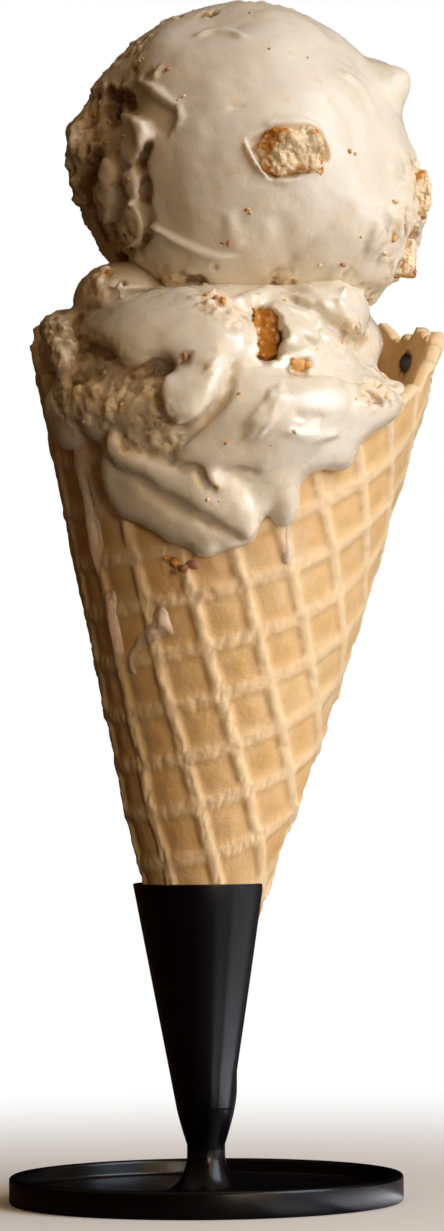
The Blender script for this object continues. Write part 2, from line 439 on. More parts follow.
class BiscuitSettings(bpy.types.PropertyGroup):
    """Chunks and crumbs of biscuit in the cream."""
    golden: IntProperty(
        name="Golden crumbs", description="How many small golden crumbs lie in the cream",
        default=120, min=0)
    orange: IntProperty(
        name="Orange crumbs", description="How many baked orange crumbs lie in the cream",
        default=26, min=0)
    reddish: IntProperty(
        name="Reddish crumbs", description="How many dark reddish crumbs lie in the cream",
        default=4, min=0)
    colour: FloatVectorProperty(
        name="Biscuit", description="Colour of the biscuit's inside", subtype="COLOR", size=3, min=0,
        max=1, default=(0.97, 0.76, 0.46))
    crust: FloatVectorProperty(
        name="Crust", description="Colour of the biscuit's crust", subtype="COLOR", size=3, min=0, max=1,
        default=(0.62, 0.25, 0.035))


class StageSettings(bpy.types.PropertyGroup):
    """Light and floor."""
    key_power: FloatProperty(
        name="Window", description="Power of the soft window light on the right", default=6.2, unit="POWER")
    sill_power: FloatProperty(
        name="Sill light", description="Power of the low, narrow light on the cone, in watts",
        default=0.014, min=0)
    room: FloatProperty(
        name="Room", description="Strength of the light from all round", default=0.55, min=0)
    shade: FloatVectorProperty(
        name="Shade", description="Colour of the room on the dark side", subtype="COLOR", size=3, min=0,
        max=1, default=(0.085, 0.039, 0.009))
    floor: FloatVectorProperty(
        name="Floor", description="Colour of the plain pale floor", subtype="COLOR", size=3, min=0, max=1,
        default=(0.88, 0.84, 0.76))
    table: FloatVectorProperty(
        name="Bounce", description="Colour of the light that the floor throws back at the cone",
        subtype="COLOR", size=3, min=0, max=1, default=(0.07, 0.04, 0.02))
    sill: FloatVectorProperty(
        name="Bright bounce", description="Colour of the same light on the window's side",
        subtype="COLOR", size=3, min=0, max=1, default=(0.42, 0.37, 0.33))


# ---------------------------------------------------------------- modelling tools

def clear_selection():
    """Leave edit mode and deselect everything."""
    if bpy.context.mode != "OBJECT":
        bpy.ops.object.mode_set(mode="OBJECT")
    for piece in bpy.context.selected_objects:
        piece.select_set(False)


def make_active(piece):
    clear_selection()
    piece.select_set(True)
    bpy.context.view_layer.objects.active = piece


def add(primitive, name, **sizes):
    """Add a mesh primitive with nothing else selected, and name it."""
    clear_selection()
    primitive(**sizes)
    piece = bpy.context.object
    piece.name = name
    piece.data.name = name
    return piece


def settle(piece):
    """Put a piece's place into its mesh, so that its object sits at the origin."""
    make_active(piece)
    bpy.ops.object.transform_apply(location=True, rotation=True, scale=True)


def apply_modifier(piece, kind, **values):
    make_active(piece)
    change = piece.modifiers.new(kind.lower(), kind)
    for name, value in values.items():
        setattr(change, name, value)
    bpy.ops.object.modifier_apply(modifier=change.name)


def join(pieces, name):
    make_active(pieces[0])
    for piece in pieces[1:]:
        piece.select_set(True)
    bpy.ops.object.join()
    pieces[0].name = name
    pieces[0].data.name = name
    return pieces[0]


def copies_of(first, placings):
    """Copies of a piece, each with its own mesh at its own place; the first one is removed."""
    made = []
    for placing in placings:
        copy = bpy.data.objects.new(first.name, first.data.copy())
        bpy.context.scene.collection.objects.link(copy)
        copy.data.transform(placing)
        made.append(copy)
    bpy.data.objects.remove(first)
    return made


def tidy_shell(piece):
    """Merge doubled points and turn all faces outwards."""
    make_active(piece)
    bpy.ops.object.mode_set(mode="EDIT")
    bpy.ops.mesh.select_all(action="SELECT")
    bpy.ops.mesh.remove_doubles(threshold=DOUBLED)
    bpy.ops.mesh.normals_make_consistent(inside=False)
    bpy.ops.object.mode_set(mode="OBJECT")


def select_points(piece, wanted):
    """Go into edit mode with just these points selected."""
    make_active(piece)
    bpy.ops.object.mode_set(mode="EDIT")
    bpy.ops.mesh.select_mode(type="VERT")
    bpy.ops.mesh.select_all(action="DESELECT")
    bpy.ops.object.mode_set(mode="OBJECT")
    piece.data.vertices.foreach_set("select", wanted)
    bpy.ops.object.mode_set(mode="EDIT")


def places(piece):
    """The place of each point of a piece, as rows of an array."""
    found = np.empty(len(piece.data.vertices) * 3)
    piece.data.vertices.foreach_get("co", found)
    return found.reshape(-1, 3)


def put(piece, points):
    piece.data.vertices.foreach_set("co", np.ascontiguousarray(points, dtype=np.float32).ravel())
    piece.data.update()


def facing(piece):
    """The direction that each point of a piece faces."""
    found = np.empty(len(piece.data.vertices) * 3)
    piece.data.vertex_normals.foreach_get("vector", found)
    return found.reshape(-1, 3)


def mark(piece, name, values):
    """Keep a value for each point of a piece, for its material."""
    kept = piece.data.attributes.new(name, "FLOAT", "POINT")
    kept.data.foreach_set("value", np.ascontiguousarray(values, dtype=np.float32))


def smooth_step(value):
    value = np.clip(value, 0.0, 1.0)
    return value * value * (3 - 2 * value)


def grain(points, size, octaves=1, seed=0):
    """Smooth noise at each point, about -1 to 1, with features of the given size."""
    shift = np.array((17.3, 5.1, 9.7)) * (seed + 1)
    scaled = points / size + shift
    return np.array([noise.fractal(place, 0.9, 2.1, octaves) for place in scaled.tolist()])


def away_from(points, line):
    """Distance of each point from a chain of straight stretches, and how far along it is (0 to 1)."""
    nearest = np.full(len(points), np.inf)
    along = np.zeros(len(points))
    for step, (start, end) in enumerate(zip(line, line[1:])):
        span = end - start
        share = np.clip((points - start) @ span / max(span @ span, 1e-18), 0, 1)
        away = np.linalg.norm(points - start - share[:, None] * span, axis=1)
        along = np.where(away < nearest, (step + share) / (len(line) - 1), along)
        nearest = np.minimum(nearest, away)
    return nearest, along


def outwards_from(points, centre):
    return (points - centre) / np.linalg.norm(points - centre, axis=1)[:, None]


def direction(azimuth, elevation):
    azimuth = math.radians(azimuth)
    elevation = math.radians(elevation)
    level = math.cos(elevation)
    return Vector((level * math.cos(azimuth), level * math.sin(azimuth), math.sin(elevation)))


# ---------------------------------------------------------------- shader tools

def new_material(name, **values):
    """A material with one Principled shader; the values are the shader's own inputs."""
    made = bpy.data.materials.new(name)
    made.use_nodes = True
    shader = made.node_tree.nodes["Principled BSDF"]
    for socket, value in values.items():
        shader.inputs[socket.replace("_", " ")].default_value = value
    return made, made.node_tree, shader


def node(tree, kind, **values):
    made = tree.nodes.new(kind)
    for name, value in values.items():
        setattr(made, name, value)
    return made


def mix_colour(tree, share, first, second):
    made = node(tree, "ShaderNodeMix", data_type="RGBA")
    for socket, value in (("Factor", share), ("A", first), ("B", second)):
        target = [s for s in made.inputs if s.name == socket and s.enabled][0]
        if isinstance(value, bpy.types.NodeSocket):
            tree.links.new(value, target)
        else:
            target.default_value = value if isinstance(value, (int, float)) else (*value, 1)
    return [s for s in made.outputs if s.enabled][0]


def ramp(tree, value, low, high):
    """A value stretched so that low becomes 0 and high becomes 1."""
    made = node(tree, "ShaderNodeMapRange", interpolation_type="SMOOTHSTEP")
    made.inputs["From Min"].default_value = low
    made.inputs["From Max"].default_value = high
    tree.links.new(value, made.inputs["Value"])
    return made.outputs["Result"]


def maths(tree, operation, first, second):
    made = node(tree, "ShaderNodeMath", operation=operation)
    for socket, value in zip(made.inputs, (first, second)):
        if isinstance(value, bpy.types.NodeSocket):
            tree.links.new(value, socket)
        else:
            socket.default_value = value
    return made.outputs[0]


def mottle_group():
    """The shared group for every mottled effect: noise on the piece's own coordinates, stretched."""
    made = bpy.data.node_groups.get("mottle")
    if made:
        return made
    made = bpy.data.node_groups.new("mottle", "ShaderNodeTree")
    inputs = (("Scale", 100.0), ("Detail", 3.0), ("Roughness", 0.5), ("Low", 0.0), ("High", 1.0))
    for name, value in inputs:
        socket = made.interface.new_socket(name=name, in_out="INPUT", socket_type="NodeSocketFloat")
        socket.default_value = value
    made.interface.new_socket(name="Amount", in_out="OUTPUT", socket_type="NodeSocketFloat")
    given = node(made, "NodeGroupInput")
    spots = node(made, "ShaderNodeTexNoise")
    stretch = node(made, "ShaderNodeMapRange", interpolation_type="SMOOTHSTEP")
    made.links.new(node(made, "ShaderNodeTexCoord").outputs["Object"], spots.inputs["Vector"])
    for name in ("Scale", "Detail", "Roughness"):
        made.links.new(given.outputs[name], spots.inputs[name])
    made.links.new(spots.outputs["Fac"], stretch.inputs["Value"])
    made.links.new(given.outputs["Low"], stretch.inputs["From Min"])
    made.links.new(given.outputs["High"], stretch.inputs["From Max"])
    made.links.new(stretch.outputs["Result"], node(made, "NodeGroupOutput").inputs["Amount"])
    return made


def mottle(tree, scale, low=0.0, high=1.0, detail=3, roughness=0.5):
    """Mottling from 0 to 1, where noise goes from low to high."""
    made = node(tree, "ShaderNodeGroup", node_tree=mottle_group())
    for name, value in (("Scale", scale), ("Detail", detail), ("Roughness", roughness), ("Low", low),
                        ("High", high)):
        made.inputs[name].default_value = value
    return made.outputs["Amount"]


def span(tree, value, low, high):
    """A value from 0 to 1 turned into one from low to high."""
    made = node(tree, "ShaderNodeMapRange")
    made.inputs["To Min"].default_value = low
    made.inputs["To Max"].default_value = high
    tree.links.new(value, made.inputs["Value"])
    return made.outputs["Result"]


def bump(tree, shader, height, depth):
    made = node(tree, "ShaderNodeBump")
    made.inputs["Strength"].default_value = 1.0
    made.inputs["Distance"].default_value = depth
    tree.links.new(height, made.inputs["Height"])
    tree.links.new(made.outputs["Normal"], shader.inputs["Normal"])


def attribute(tree, name):
    return node(tree, "ShaderNodeAttribute", attribute_name=name).outputs["Fac"]


def dress(piece, material, slot, *nodes):
    """Give a piece its material and body, and say which nodes it stands for."""
    piece.data.materials.clear()
    piece.data.materials.append(material)
    make_active(piece)
    bpy.ops.object.shade_smooth()
    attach(piece, "root")
    if nodes:
        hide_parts(*nodes)


# ---------------------------------------------------------------- holder

def draw_chain(name, points):
    """A chain of points, drawn by extruding one point after another."""
    piece = add(bpy.ops.mesh.primitive_plane_add, name, size=MM)
    bpy.ops.object.mode_set(mode="EDIT")
    bpy.ops.mesh.merge(type="CENTER")
    bpy.ops.transform.translate(value=points[0])
    for start, end in zip(points, points[1:]):
        step = Vector(end) - Vector(start)
        bpy.ops.mesh.extrude_region_move(TRANSFORM_OT_translate={"value": step})
    return piece


def spin_chain(piece, angle, steps, start=0.0):
    """Turn a drawn chain about the holder's axis."""
    bpy.ops.object.mode_set(mode="EDIT")
    bpy.ops.mesh.select_all(action="SELECT")
    bpy.ops.mesh.spin(steps=steps, angle=angle, center=(0, 0, 0), axis=(0, 0, 1))
    bpy.ops.object.mode_set(mode="OBJECT")
    piece.data.transform(Matrix.Rotation(start, 4, "Z"))


def arc(centre, radii, start, end, steps):
    """Points of an elliptic arc in the X-Z plane, from one angle to another (degrees)."""
    made = []
    for step in range(steps + 1):
        angle = math.radians(start + (end - start) * step / steps)
        made.append((centre[0] + radii[0] * math.cos(angle), 0, centre[1] + radii[1] * math.sin(angle)))
    return made


def funnel_radius(height, rim_radius, neck_radius):
    """Outer radius of the funnel, drawn in towards the neck at its foot."""
    straight = rim_radius - FUNNEL_SLOPE * (HOLDER_HIGH.z - height)
    excess = rim_radius - FUNNEL_SLOPE * (HOLDER_HIGH.z - NECK_TOP) - neck_radius
    drawn_in = max(0.0, (FUNNEL_FOOT - height) / (FUNNEL_FOOT - NECK_TOP))
    return straight - excess * drawn_in ** 1.5


def make_foot(values):
    """Tray, stem and the funnel's solid foot, turned in one."""
    edge = 0.6 * MM                     # rounding of the tray's edges
    lip_middle = values.tray_radius - values.lip_wall / 2
    inside = values.tray_radius - values.lip_wall
    points = [(0, 0, FUNNEL_FOOT - MM)]
    for step in range(13):
        height = FUNNEL_FOOT + (NECK_TOP - FUNNEL_FOOT) * step / 12
        points.append((funnel_radius(height, values.rim_radius, values.neck_radius), 0, height))
    flare = (FLARE_RADIUS - values.neck_radius, NECK_FOOT - values.floor_height)
    points += arc((FLARE_RADIUS, NECK_FOOT), flare, 180, 270, 14)
    points.append((inside - MM, 0, values.floor_height))
    points += arc((inside - edge, values.floor_height + edge), (edge, edge), 270, 360, 5)
    round_lip = (values.lip_wall / 2, values.lip_wall / 2)
    points += arc((lip_middle, values.lip_height - values.lip_wall / 2), round_lip, 180, 0, 10)
    points += arc((values.tray_radius - edge, edge), (edge, edge), 0, -90, 5)
    points.append((0, 0, 0))
    foot = draw_chain("holder_foot", points)
    spin_chain(foot, TURN, 144)
    tidy_shell(foot)
    return foot


def make_funnel(values):
    """The funnel's wall: a sheet turned most of the way round, its slot closing towards the foot."""
    low = FUNNEL_FOOT - 0.4 * MM
    heights = [low]
    for step in range(16):
        heights.append(FUNNEL_FOOT + (HOLDER_HIGH.z - FUNNEL_FOOT) * (step / 15) ** 1.6)
    heights[-1] = HOLDER_HIGH.z
    points = [(funnel_radius(h, values.rim_radius, values.neck_radius), 0, h) for h in heights]
    points[0] = (points[0][0] - 0.35 * MM, 0, low - 0.4 * MM)
    funnel = draw_chain("holder_funnel", points)
    spin_chain(funnel, TURN - (SLOT[1] - SLOT[0]), 112, SLOT[0])
    make_active(funnel)
    bpy.ops.object.mode_set(mode="EDIT")
    bpy.ops.mesh.select_all(action="SELECT")
    bpy.ops.mesh.remove_doubles(threshold=DOUBLED)
    bpy.ops.object.mode_set(mode="OBJECT")
    points = places(funnel)
    azimuth = np.arctan2(points[:, 1], points[:, 0])
    at_slot = np.minimum(np.abs(azimuth - SLOT[0]), np.abs(azimuth - SLOT[1])) < 0.01
    above = np.clip(points[:, 2] - low, 0, None)
    opened = smooth_step(above / SLOT_CLOSES) * (0.84 + 0.16 * above / (HOLDER_HIGH.z - low))
    along_wall = np.where(azimuth > SLOT[1] - 0.01, azimuth, azimuth + TURN)
    edge = SLOT[1] * opened
    wall = TURN + SLOT[0] * opened - edge
    turned = edge + (along_wall - SLOT[1]) * wall / (TURN + SLOT[0] - SLOT[1])
    reach = np.hypot(points[:, 0], points[:, 1])
    put(funnel, np.column_stack((reach * np.cos(turned), reach * np.sin(turned), points[:, 2])))
    select_points(funnel, at_slot & (points[:, 2] > HOLDER_HIGH.z - 0.1 * MM))
    bpy.ops.mesh.bevel(offset=SLOT_CORNER, segments=8, affect="VERTICES", clamp_overlap=False)
    bpy.ops.mesh.select_all(action="SELECT")
    bpy.ops.mesh.normals_make_consistent(inside=False)
    bpy.ops.object.mode_set(mode="OBJECT")
    apply_modifier(funnel, "SOLIDIFY", thickness=values.wall, offset=-1, use_even_offset=True)
    apply_modifier(funnel, "BEVEL", width=0.14 * MM, segments=3, limit_method="ANGLE",
                   angle_limit=math.radians(50))
    return funnel


def satin_black(values):
    """The holder's satin black coating, with a little dust."""
    material, tree, shader = new_material("satin_black", Specular_IOR_Level=0.32)
    patchy = mottle(tree, 60, 0.3, 0.7, 4, 0.6)
    dust = maths(tree, "MULTIPLY", mottle(tree, 900, 0.62, 0.8, 2, 0.7), 0.05)
    paint = mix_colour(tree, patchy, values.colour, [c * 1.7 for c in values.colour])
    tree.links.new(mix_colour(tree, dust, paint, (0.10, 0.10, 0.11)), shader.inputs["Base Color"])
    tree.links.new(span(tree, patchy, 0.19, 0.27), shader.inputs["Roughness"])
    bump(tree, shader, mottle(tree, 1400, detail=2), 0.012 * MM)
    return material


class CONE_OT_holder(bpy.types.Operator):
    """Build the slotted cone holder"""
    bl_idname = "ice_cream_cone.holder"
    bl_label = "Holder"

    def execute(self, context):
        values = context.scene.cone_holder
        foot = make_foot(values)
        funnel = make_funnel(values)
        holder = join([foot, funnel], "holder")
        settle(holder)
        dress(holder, satin_black(values), "stand", "cone_holder")
        bpy.ops.object.shade_smooth_by_angle(angle=math.radians(22))
        return {"FINISHED"}


# ---------------------------------------------------------------- waffle cone

def seam_azimuth(along):
    """Azimuth of the rolled sheet's outer edge at a height along the cone."""
    return SEAM_AT + SEAM_SWING * np.maximum(0.0, along - SEAM_STRAIGHT)


def rim_along(azimuth):
    """Height of the rim along the cone, dipped at the front, without its ragged edge."""
    away = np.abs((azimuth - FRONT + math.pi) % TURN - math.pi)
    dip = RIM_DIP * smooth_step((RIM_DIP_HALF - away) / RIM_DIP_EDGE)
    return CONE_RIM + RIM_TILT * np.cos(azimuth - RIM_TILT_AT) - dip


def crest_radius(along):
    """Radius of the ridges' crests at a height along the cone."""
    swell = SWELL * smooth_step((along - SWELL_FROM) / SWELL_LENGTH)
    return along * math.tan(CONE_HALF_ANGLE) + swell


def on_cone(azimuth, along, out):
    """Places in the cone's own frame; out is the distance off the ridges' crests."""
    radius = np.maximum(0.0, crest_radius(along) + out * math.cos(CONE_HALF_ANGLE))
    height = along - out * math.sin(CONE_HALF_ANGLE)
    return np.stack((radius * np.cos(azimuth), radius * np.sin(azimuth), height), axis=-1)


def cone_frame():
    """From the cone's own frame to the scene's."""
    return Matrix.Translation(CONE_POINT) @ Matrix.Rotation(CONE_LEAN, 4, "Y")


def flat_place(azimuth, along):
    """Where a place on the cone lies on the unrolled sheet, in the ridges' own directions."""
    slant = along / math.cos(CONE_HALF_ANGLE)
    turn = (azimuth - FRONT) * math.sin(CONE_HALF_ANGLE)
    right = slant * np.sin(turn)
    up = slant * np.cos(turn)
    first = right * math.cos(RIDGE_TURN) + up * math.sin(RIDGE_TURN)
    second = up * math.cos(RIDGE_TURN) - right * math.sin(RIDGE_TURN)
    return first, second


def waffle_relief(azimuth, along, pitch):
    """Ridges (0 to 1) and how near the middle of a pocket each place is (0 to 1)."""
    first, second = flat_place(azimuth, along)
    flat = np.stack((first, second, np.zeros_like(first)), axis=-1).reshape(-1, 3)
    wander = grain(flat, 16 * MM, 2, 3).reshape(first.shape) * 0.35 * MM
    drift = grain(flat, 16 * MM, 2, 4).reshape(first.shape) * 0.35 * MM
    lines = []
    middles = []
    for place, phase, strength, top, slope in (
            (first + wander, RIDGE_PHASE[0], 1.0, 0.32 * MM, 1.45 * MM),
            (second + drift, RIDGE_PHASE[1], 0.72, 0.55 * MM, 1.7 * MM)):
        off = np.abs((place - phase + pitch / 2) % pitch - pitch / 2)
        lines.append(strength * smooth_step(1 - (off - top) / slope))
        middles.append(smooth_step((off / (pitch / 2) - 0.25) / 0.75))
    ridges = 1 - (1 - lines[0]) * (1 - lines[1])
    return ridges, middles[0] * middles[1], flat


def make_cone(values):
    """A grid wrapped round the cone: up its outside, over the rim and down its inside."""
    outside = values.rows
    rows = outside + LIP_ROWS + INSIDE_ROWS
    columns = values.columns
    cone = add(bpy.ops.mesh.primitive_grid_add, "waffle_cone_rolled",
               x_subdivisions=columns, y_subdivisions=rows, size=2)
    flat = places(cone)
    column = np.rint((flat[:, 0] + 1) / 2 * columns).astype(int)
    row = np.rint((flat[:, 1] + 1) / 2 * rows).astype(int)

    # Columns run back from the sheet's outer edge; the last one closes the step onto the first.
    share = np.minimum(column / (columns - 1), 1.0)
    back = share * (TURN - 0.004)
    back[column == columns] = 0.0
    up = np.clip(row / outside, 0, 1)

    along = CONE_TIP + (CONE_RIM - CONE_TIP) * up
    for _ in range(3):                  # the seam swings round as it climbs, so settle both together
        azimuth = seam_azimuth(along) - back
        rim = rim_along(azimuth)
        along = CONE_TIP + (rim - CONE_TIP) * up
    ridges, middle, sheet = waffle_relief(azimuth, along, values.pitch)
    rim_ridges, _, rim_sheet = waffle_relief(azimuth, rim, values.pitch)
    broken = grain(rim_sheet, 2.2 * MM, 3, 7) * RIM_TEETH + (rim_ridges - 0.5) * 1.5 * MM
    along = along + broken * smooth_step((up - 0.94) / 0.06)

    # The relief, the pressed lap of the outer edge, and the small faults of the baking.
    pressed = smooth_step((along - CONE_TIP) / (6 * MM))
    squeezed = smooth_step((along - LAP_FROM) / LAP_FROM)
    rise = LAP_HEIGHT * smooth_step(1 - back / LAP_LENGTH) * squeezed
    fine = grain(sheet, 2.0 * MM, 3, 1) * 0.06 * MM
    broad = grain(sheet, 12 * MM, 2, 2) * 0.22 * MM
    dome = middle * 0.22 * MM
    crumbled = 1 + 0.42 * grain(sheet, 3.0 * MM, 3, 5)
    cracks = smooth_step((grain(sheet, 1.6 * MM, 2, 6) - 0.22) / 0.15) * ridges * 0.26 * MM
    out = (values.height * (ridges * pressed * crumbled - 1) + rise
           + (fine + broad + dome - cracks) * pressed)
    out = out + (1 - smooth_step((along - 19 * MM) / (8 * MM))) * values.height * 0.4

    # Over the rim's edge, and down the inside with its fainter print of the ridges.
    across = np.clip((row - outside) / LIP_ROWS, 0, 1)
    round_over = np.sin(across * math.pi) * 0.5 * MM
    depth = np.where(row > outside, across * (values.wall + np.minimum(out, 0)), 0)
    down = np.clip((row - outside - LIP_ROWS) / INSIDE_ROWS, 0, 1) ** 1.6
    inner_along = along + (CONE_TIP_INSIDE - along) * down
    inner_ridges, _, inner_sheet = waffle_relief(azimuth, inner_along, values.pitch)
    printed = (0.35 * (1 - inner_ridges) - 0.2) * MM
    inner_out = -values.wall + printed + grain(inner_sheet, 2 * MM, 2, 9) * 0.06 * MM
    on_inside = row >= outside + LIP_ROWS
    final_along = np.where(on_inside, inner_along, along + round_over)
    final_out = np.where(on_inside, inner_out, out - depth)
    made = on_cone(azimuth, final_along, final_out)
    for end, height in ((0, CONE_TIP - 1.2 * MM), (rows, CONE_TIP_INSIDE - MM)):
        made[row == end] = (0, 0, height)
    put(cone, made)
    mark(cone, "ridge", np.where(on_inside, 0.35 * inner_ridges + 0.3, ridges))
    mark(cone, "pocket", np.where(on_inside, 0.3, middle))
    near_rim = smooth_step((up - 0.985) / 0.015) * ~on_inside
    mark(cone, "broken", np.where((row > outside) & ~on_inside, 1.0, near_rim))
    tidy_shell(cone)
    cone.data.transform(cone_frame())
    return cone


def pierce_cone(cone):
    """A hole where a bubble has burst through the wall, burnt round its edge."""
    azimuth, along = HOLE_AT
    middle = cone_frame() @ Vector(on_cone(azimuth, along, -1.3 * MM))
    cutter = add(bpy.ops.mesh.primitive_ico_sphere_add, "bubble", subdivisions=4, radius=1)
    turn = Matrix.Rotation(azimuth, 4, "Z") @ Matrix.Rotation(math.radians(25), 4, "X")
    placing = Matrix.Translation(middle) @ turn @ Matrix.Diagonal((*HOLE_RADII, 1))
    cutter.data.transform(placing)
    apply_modifier(cone, "BOOLEAN", operation="DIFFERENCE", object=cutter, solver="EXACT")
    bpy.data.objects.remove(cutter)
    back = np.array(placing.inverted())
    points = places(cone)
    away = np.linalg.norm((points @ back[:3, :3].T + back[:3, 3])[:, 1:], axis=1)
    near = np.linalg.norm(points - np.array(middle), axis=1) < 6 * MM
    mark(cone, "burnt", smooth_step((1.25 - away) / 0.2) * near)
    select_points(cone, near)           # the cut leaves slivers, which are merged away
    bpy.ops.mesh.remove_doubles(threshold=0.05 * MM)
    bpy.ops.mesh.quads_convert_to_tris(quad_method="BEAUTY", ngon_method="BEAUTY")
    bpy.ops.mesh.dissolve_degenerate(threshold=0.03 * MM)
    bpy.ops.object.mode_set(mode="OBJECT")


def baked_waffle(values):
    """Pale ridges, browner pockets, toasted spots, and the burnt edge of the burst bubble."""
    material, tree, shader = new_material(
        "baked_waffle", Subsurface_Weight=0.16, Subsurface_Scale=0.0018, Specular_IOR_Level=0.5)
    shader.inputs["Subsurface Radius"].default_value = (1.0, 0.5, 0.2)
    pocket = attribute(tree, "pocket")
    blotchy = mottle(tree, 85, 0.36, 0.66, 3, 0.55)
    fine = mottle(tree, 900, 0.25, 0.75, 3, 0.6)
    tan = mix_colour(tree, ramp(tree, attribute(tree, "ridge"), 0.25, 0.90), values.pocket, values.crest)
    browned = maths(tree, "MULTIPLY", maths(tree, "MULTIPLY", pocket, blotchy), 0.6)
    toasted = mix_colour(tree, browned, tan, values.toast)
    cloudy = maths(tree, "MULTIPLY", mottle(tree, 60, 0.48, 0.72, 4, 0.65), 0.5)
    pale = mix_colour(tree, cloudy, toasted, (0.90, 0.68, 0.40))
    specks = maths(tree, "MULTIPLY", mottle(tree, 700, 0.60, 0.76, 3, 0.6), 0.22)
    speckled = mix_colour(tree, specks, pale, values.toast)
    crumbly = maths(tree, "MULTIPLY", attribute(tree, "broken"), 0.6)
    edged = mix_colour(tree, crumbly, speckled, (0.84, 0.63, 0.37))
    tree.links.new(mix_colour(tree, attribute(tree, "burnt"), edged, (0.05, 0.025, 0.008)),
                   shader.inputs["Base Color"])
    tree.links.new(span(tree, blotchy, 0.42, 0.72), shader.inputs["Roughness"])
    height = maths(tree, "ADD", fine, maths(tree, "MULTIPLY", mottle(tree, 420, 0.2, 0.8, 4, 0.7), 1.2))
    bump(tree, shader, height, 0.035 * MM)
    return material


class CONE_OT_cone(bpy.types.Operator):
    """Build the rolled waffle cone"""
    bl_idname = "ice_cream_cone.cone"
    bl_label = "Waffle cone"

    def execute(self, context):
        values = context.scene.waffle_cone
        cone = make_cone(values)
        pierce_cone(cone)
        dress(cone, baked_waffle(values), "waffle", "waffle_cone")
        return {"FINISHED"}


# ---------------------------------------------------------------- ice cream

def lump(name, centre, radii, turn):
    """One ellipsoid of cream, set down at its place."""
    piece = add(bpy.ops.mesh.primitive_ico_sphere_add, name, subdivisions=4, radius=1)
    piece.data.transform(Matrix.Translation(centre) @ turn @ Matrix.Diagonal((*radii, 1)))
    return piece


def rags(home, spots):
    """Small ragged folds, copied from one; each spot is a place, a radius and a turn."""
    first = add(bpy.ops.mesh.primitive_ico_sphere_add, "rag", subdivisions=2, radius=1)
    points = places(first)
    points *= (1 + 0.35 * grain(points, 0.9, 2, 5))[:, None]
    put(first, points)
    placings = []
    for place, radius, turn in spots:
        size = Matrix.Diagonal((radius * 0.7, radius, radius * 2.1, 1))
        placings.append(Matrix.Translation(place) @ turn @ size)
    return join([home, *copies_of(first, placings)], home.name)


def surface_of(piece):
    mesh = piece.data
    return BVHTree.FromPolygons([v.co for v in mesh.vertices], [p.vertices for p in mesh.polygons])


def lying(picks, towards, lean):
    """A turn that lays a fold on the surface, its length near the upright, up to lean degrees off."""
    across = Vector((0, 0, 1)).cross(towards).normalized()
    upright = towards.cross(across)
    turn = Matrix((towards, across, upright)).transposed().to_4x4()
    return turn @ Matrix.Rotation(math.radians(picks.gauss(0, lean)), 4, "X")


def knead(piece, voxel, rounds):
    """Merge a heap of lumps into one skin and soften it."""
    apply_modifier(piece, "REMESH", mode="VOXEL", voxel_size=voxel)
    apply_modifier(piece, "SMOOTH", factor=0.5, iterations=rounds)


def between(before, start, end, after, share):
    """A place on the smooth curve from start to end, whose neighbours are before and after."""
    return 0.5 * (2 * start + (end - before) * share
                  + (2 * before - 5 * start + 4 * end - after) * share ** 2
                  + (3 * start - before - 3 * end + after) * share ** 3)


def curve(bends, steps=5):
    """A smooth open curve through the bends."""
    bends = np.array(bends, dtype=float)
    if len(bends) < 3:
        return bends
    ends = np.concatenate((2 * bends[:1] - bends[1:2], bends, 2 * bends[-1:] - bends[-2:-1]))
    made = []
    for four in zip(ends, ends[1:], ends[2:], ends[3:]):
        made += [between(*four, share) for share in np.arange(steps) / steps]
    return np.array([*made, bends[-1]])


def stroke(points, normals, line, half_width, height):
    """Raise or groove the surface along a line that fades out at both ends."""
    away, along = away_from(points, line)
    away = away / (half_width * MM) * (1 + 0.25 * np.sin(along * 9))
    near = away < 1.6
    fade = smooth_step(np.minimum(along, 1 - along)[near] * 5 + 0.25)
    lift = smooth_step(1 - away[near] / 1.6) ** 1.3 * height * MM * fade
    points[near] += normals[near] * lift[:, None]


def seen_strokes(piece, middle, strokes):
    """Draw strokes placed as the viewer sees them; returns the points, normals and the drawn lines."""
    surface = surface_of(piece)
    points = places(piece)
    normals = facing(piece)
    lines = {}
    for name, (bends, half_width, height) in strokes.items():
        line = [place for place in (in_sight(surface, middle, *bend) for bend in curve(bends))
                if place is not None]
        if len(line) > 1:
            lines[name] = line
            stroke(points, normals, line, half_width, height)
    return points, normals, lines


def deep_pits(points, lines, strokes, deepest, reach):
    """How near each point is to a stroke cut deeper than the given height (0 to 1)."""
    pits = np.zeros(len(points))
    for name, line in lines.items():
        _, half_width, height = strokes[name]
        if height < deepest:
            near = smooth_step(reach - away_from(points, line)[0] / (half_width * MM))
            pits = np.maximum(pits, near)
    return pits


def as_seen(points, middle):
    """Where the viewer sees places, on the upright plane through a scoop's middle (mm)."""
    viewer = np.array(VIEWER)
    reach = (middle.y - viewer[1]) / (points[:, 1] - viewer[1])
    level = viewer[None, (0, 2)] + (points[:, (0, 2)] - viewer[None, (0, 2)]) * reach[:, None]
    return (level - np.array((middle.x, middle.z))) / MM


def in_sight(surface, middle, x, height):
    """The surface point that the viewer sees at a place on the plane through a scoop's middle."""
    towards = Vector((middle.x + x * MM, middle.y, middle.z + height * MM)) - VIEWER
    hit = surface.ray_cast(VIEWER, towards)[0]
    return None if hit is None else np.array(hit)


def rounded_outline(corners, steps=4):
    """A closed smooth curve through the corners; each row may carry further values."""
    corners = np.array(corners, dtype=float)
    four = [np.roll(corners, shift, axis=0) for shift in (1, 0, -1, -2)]
    made = [between(*four, share) for share in np.arange(steps) / steps]
    return np.stack(made, axis=1).reshape(-1, corners.shape[1])


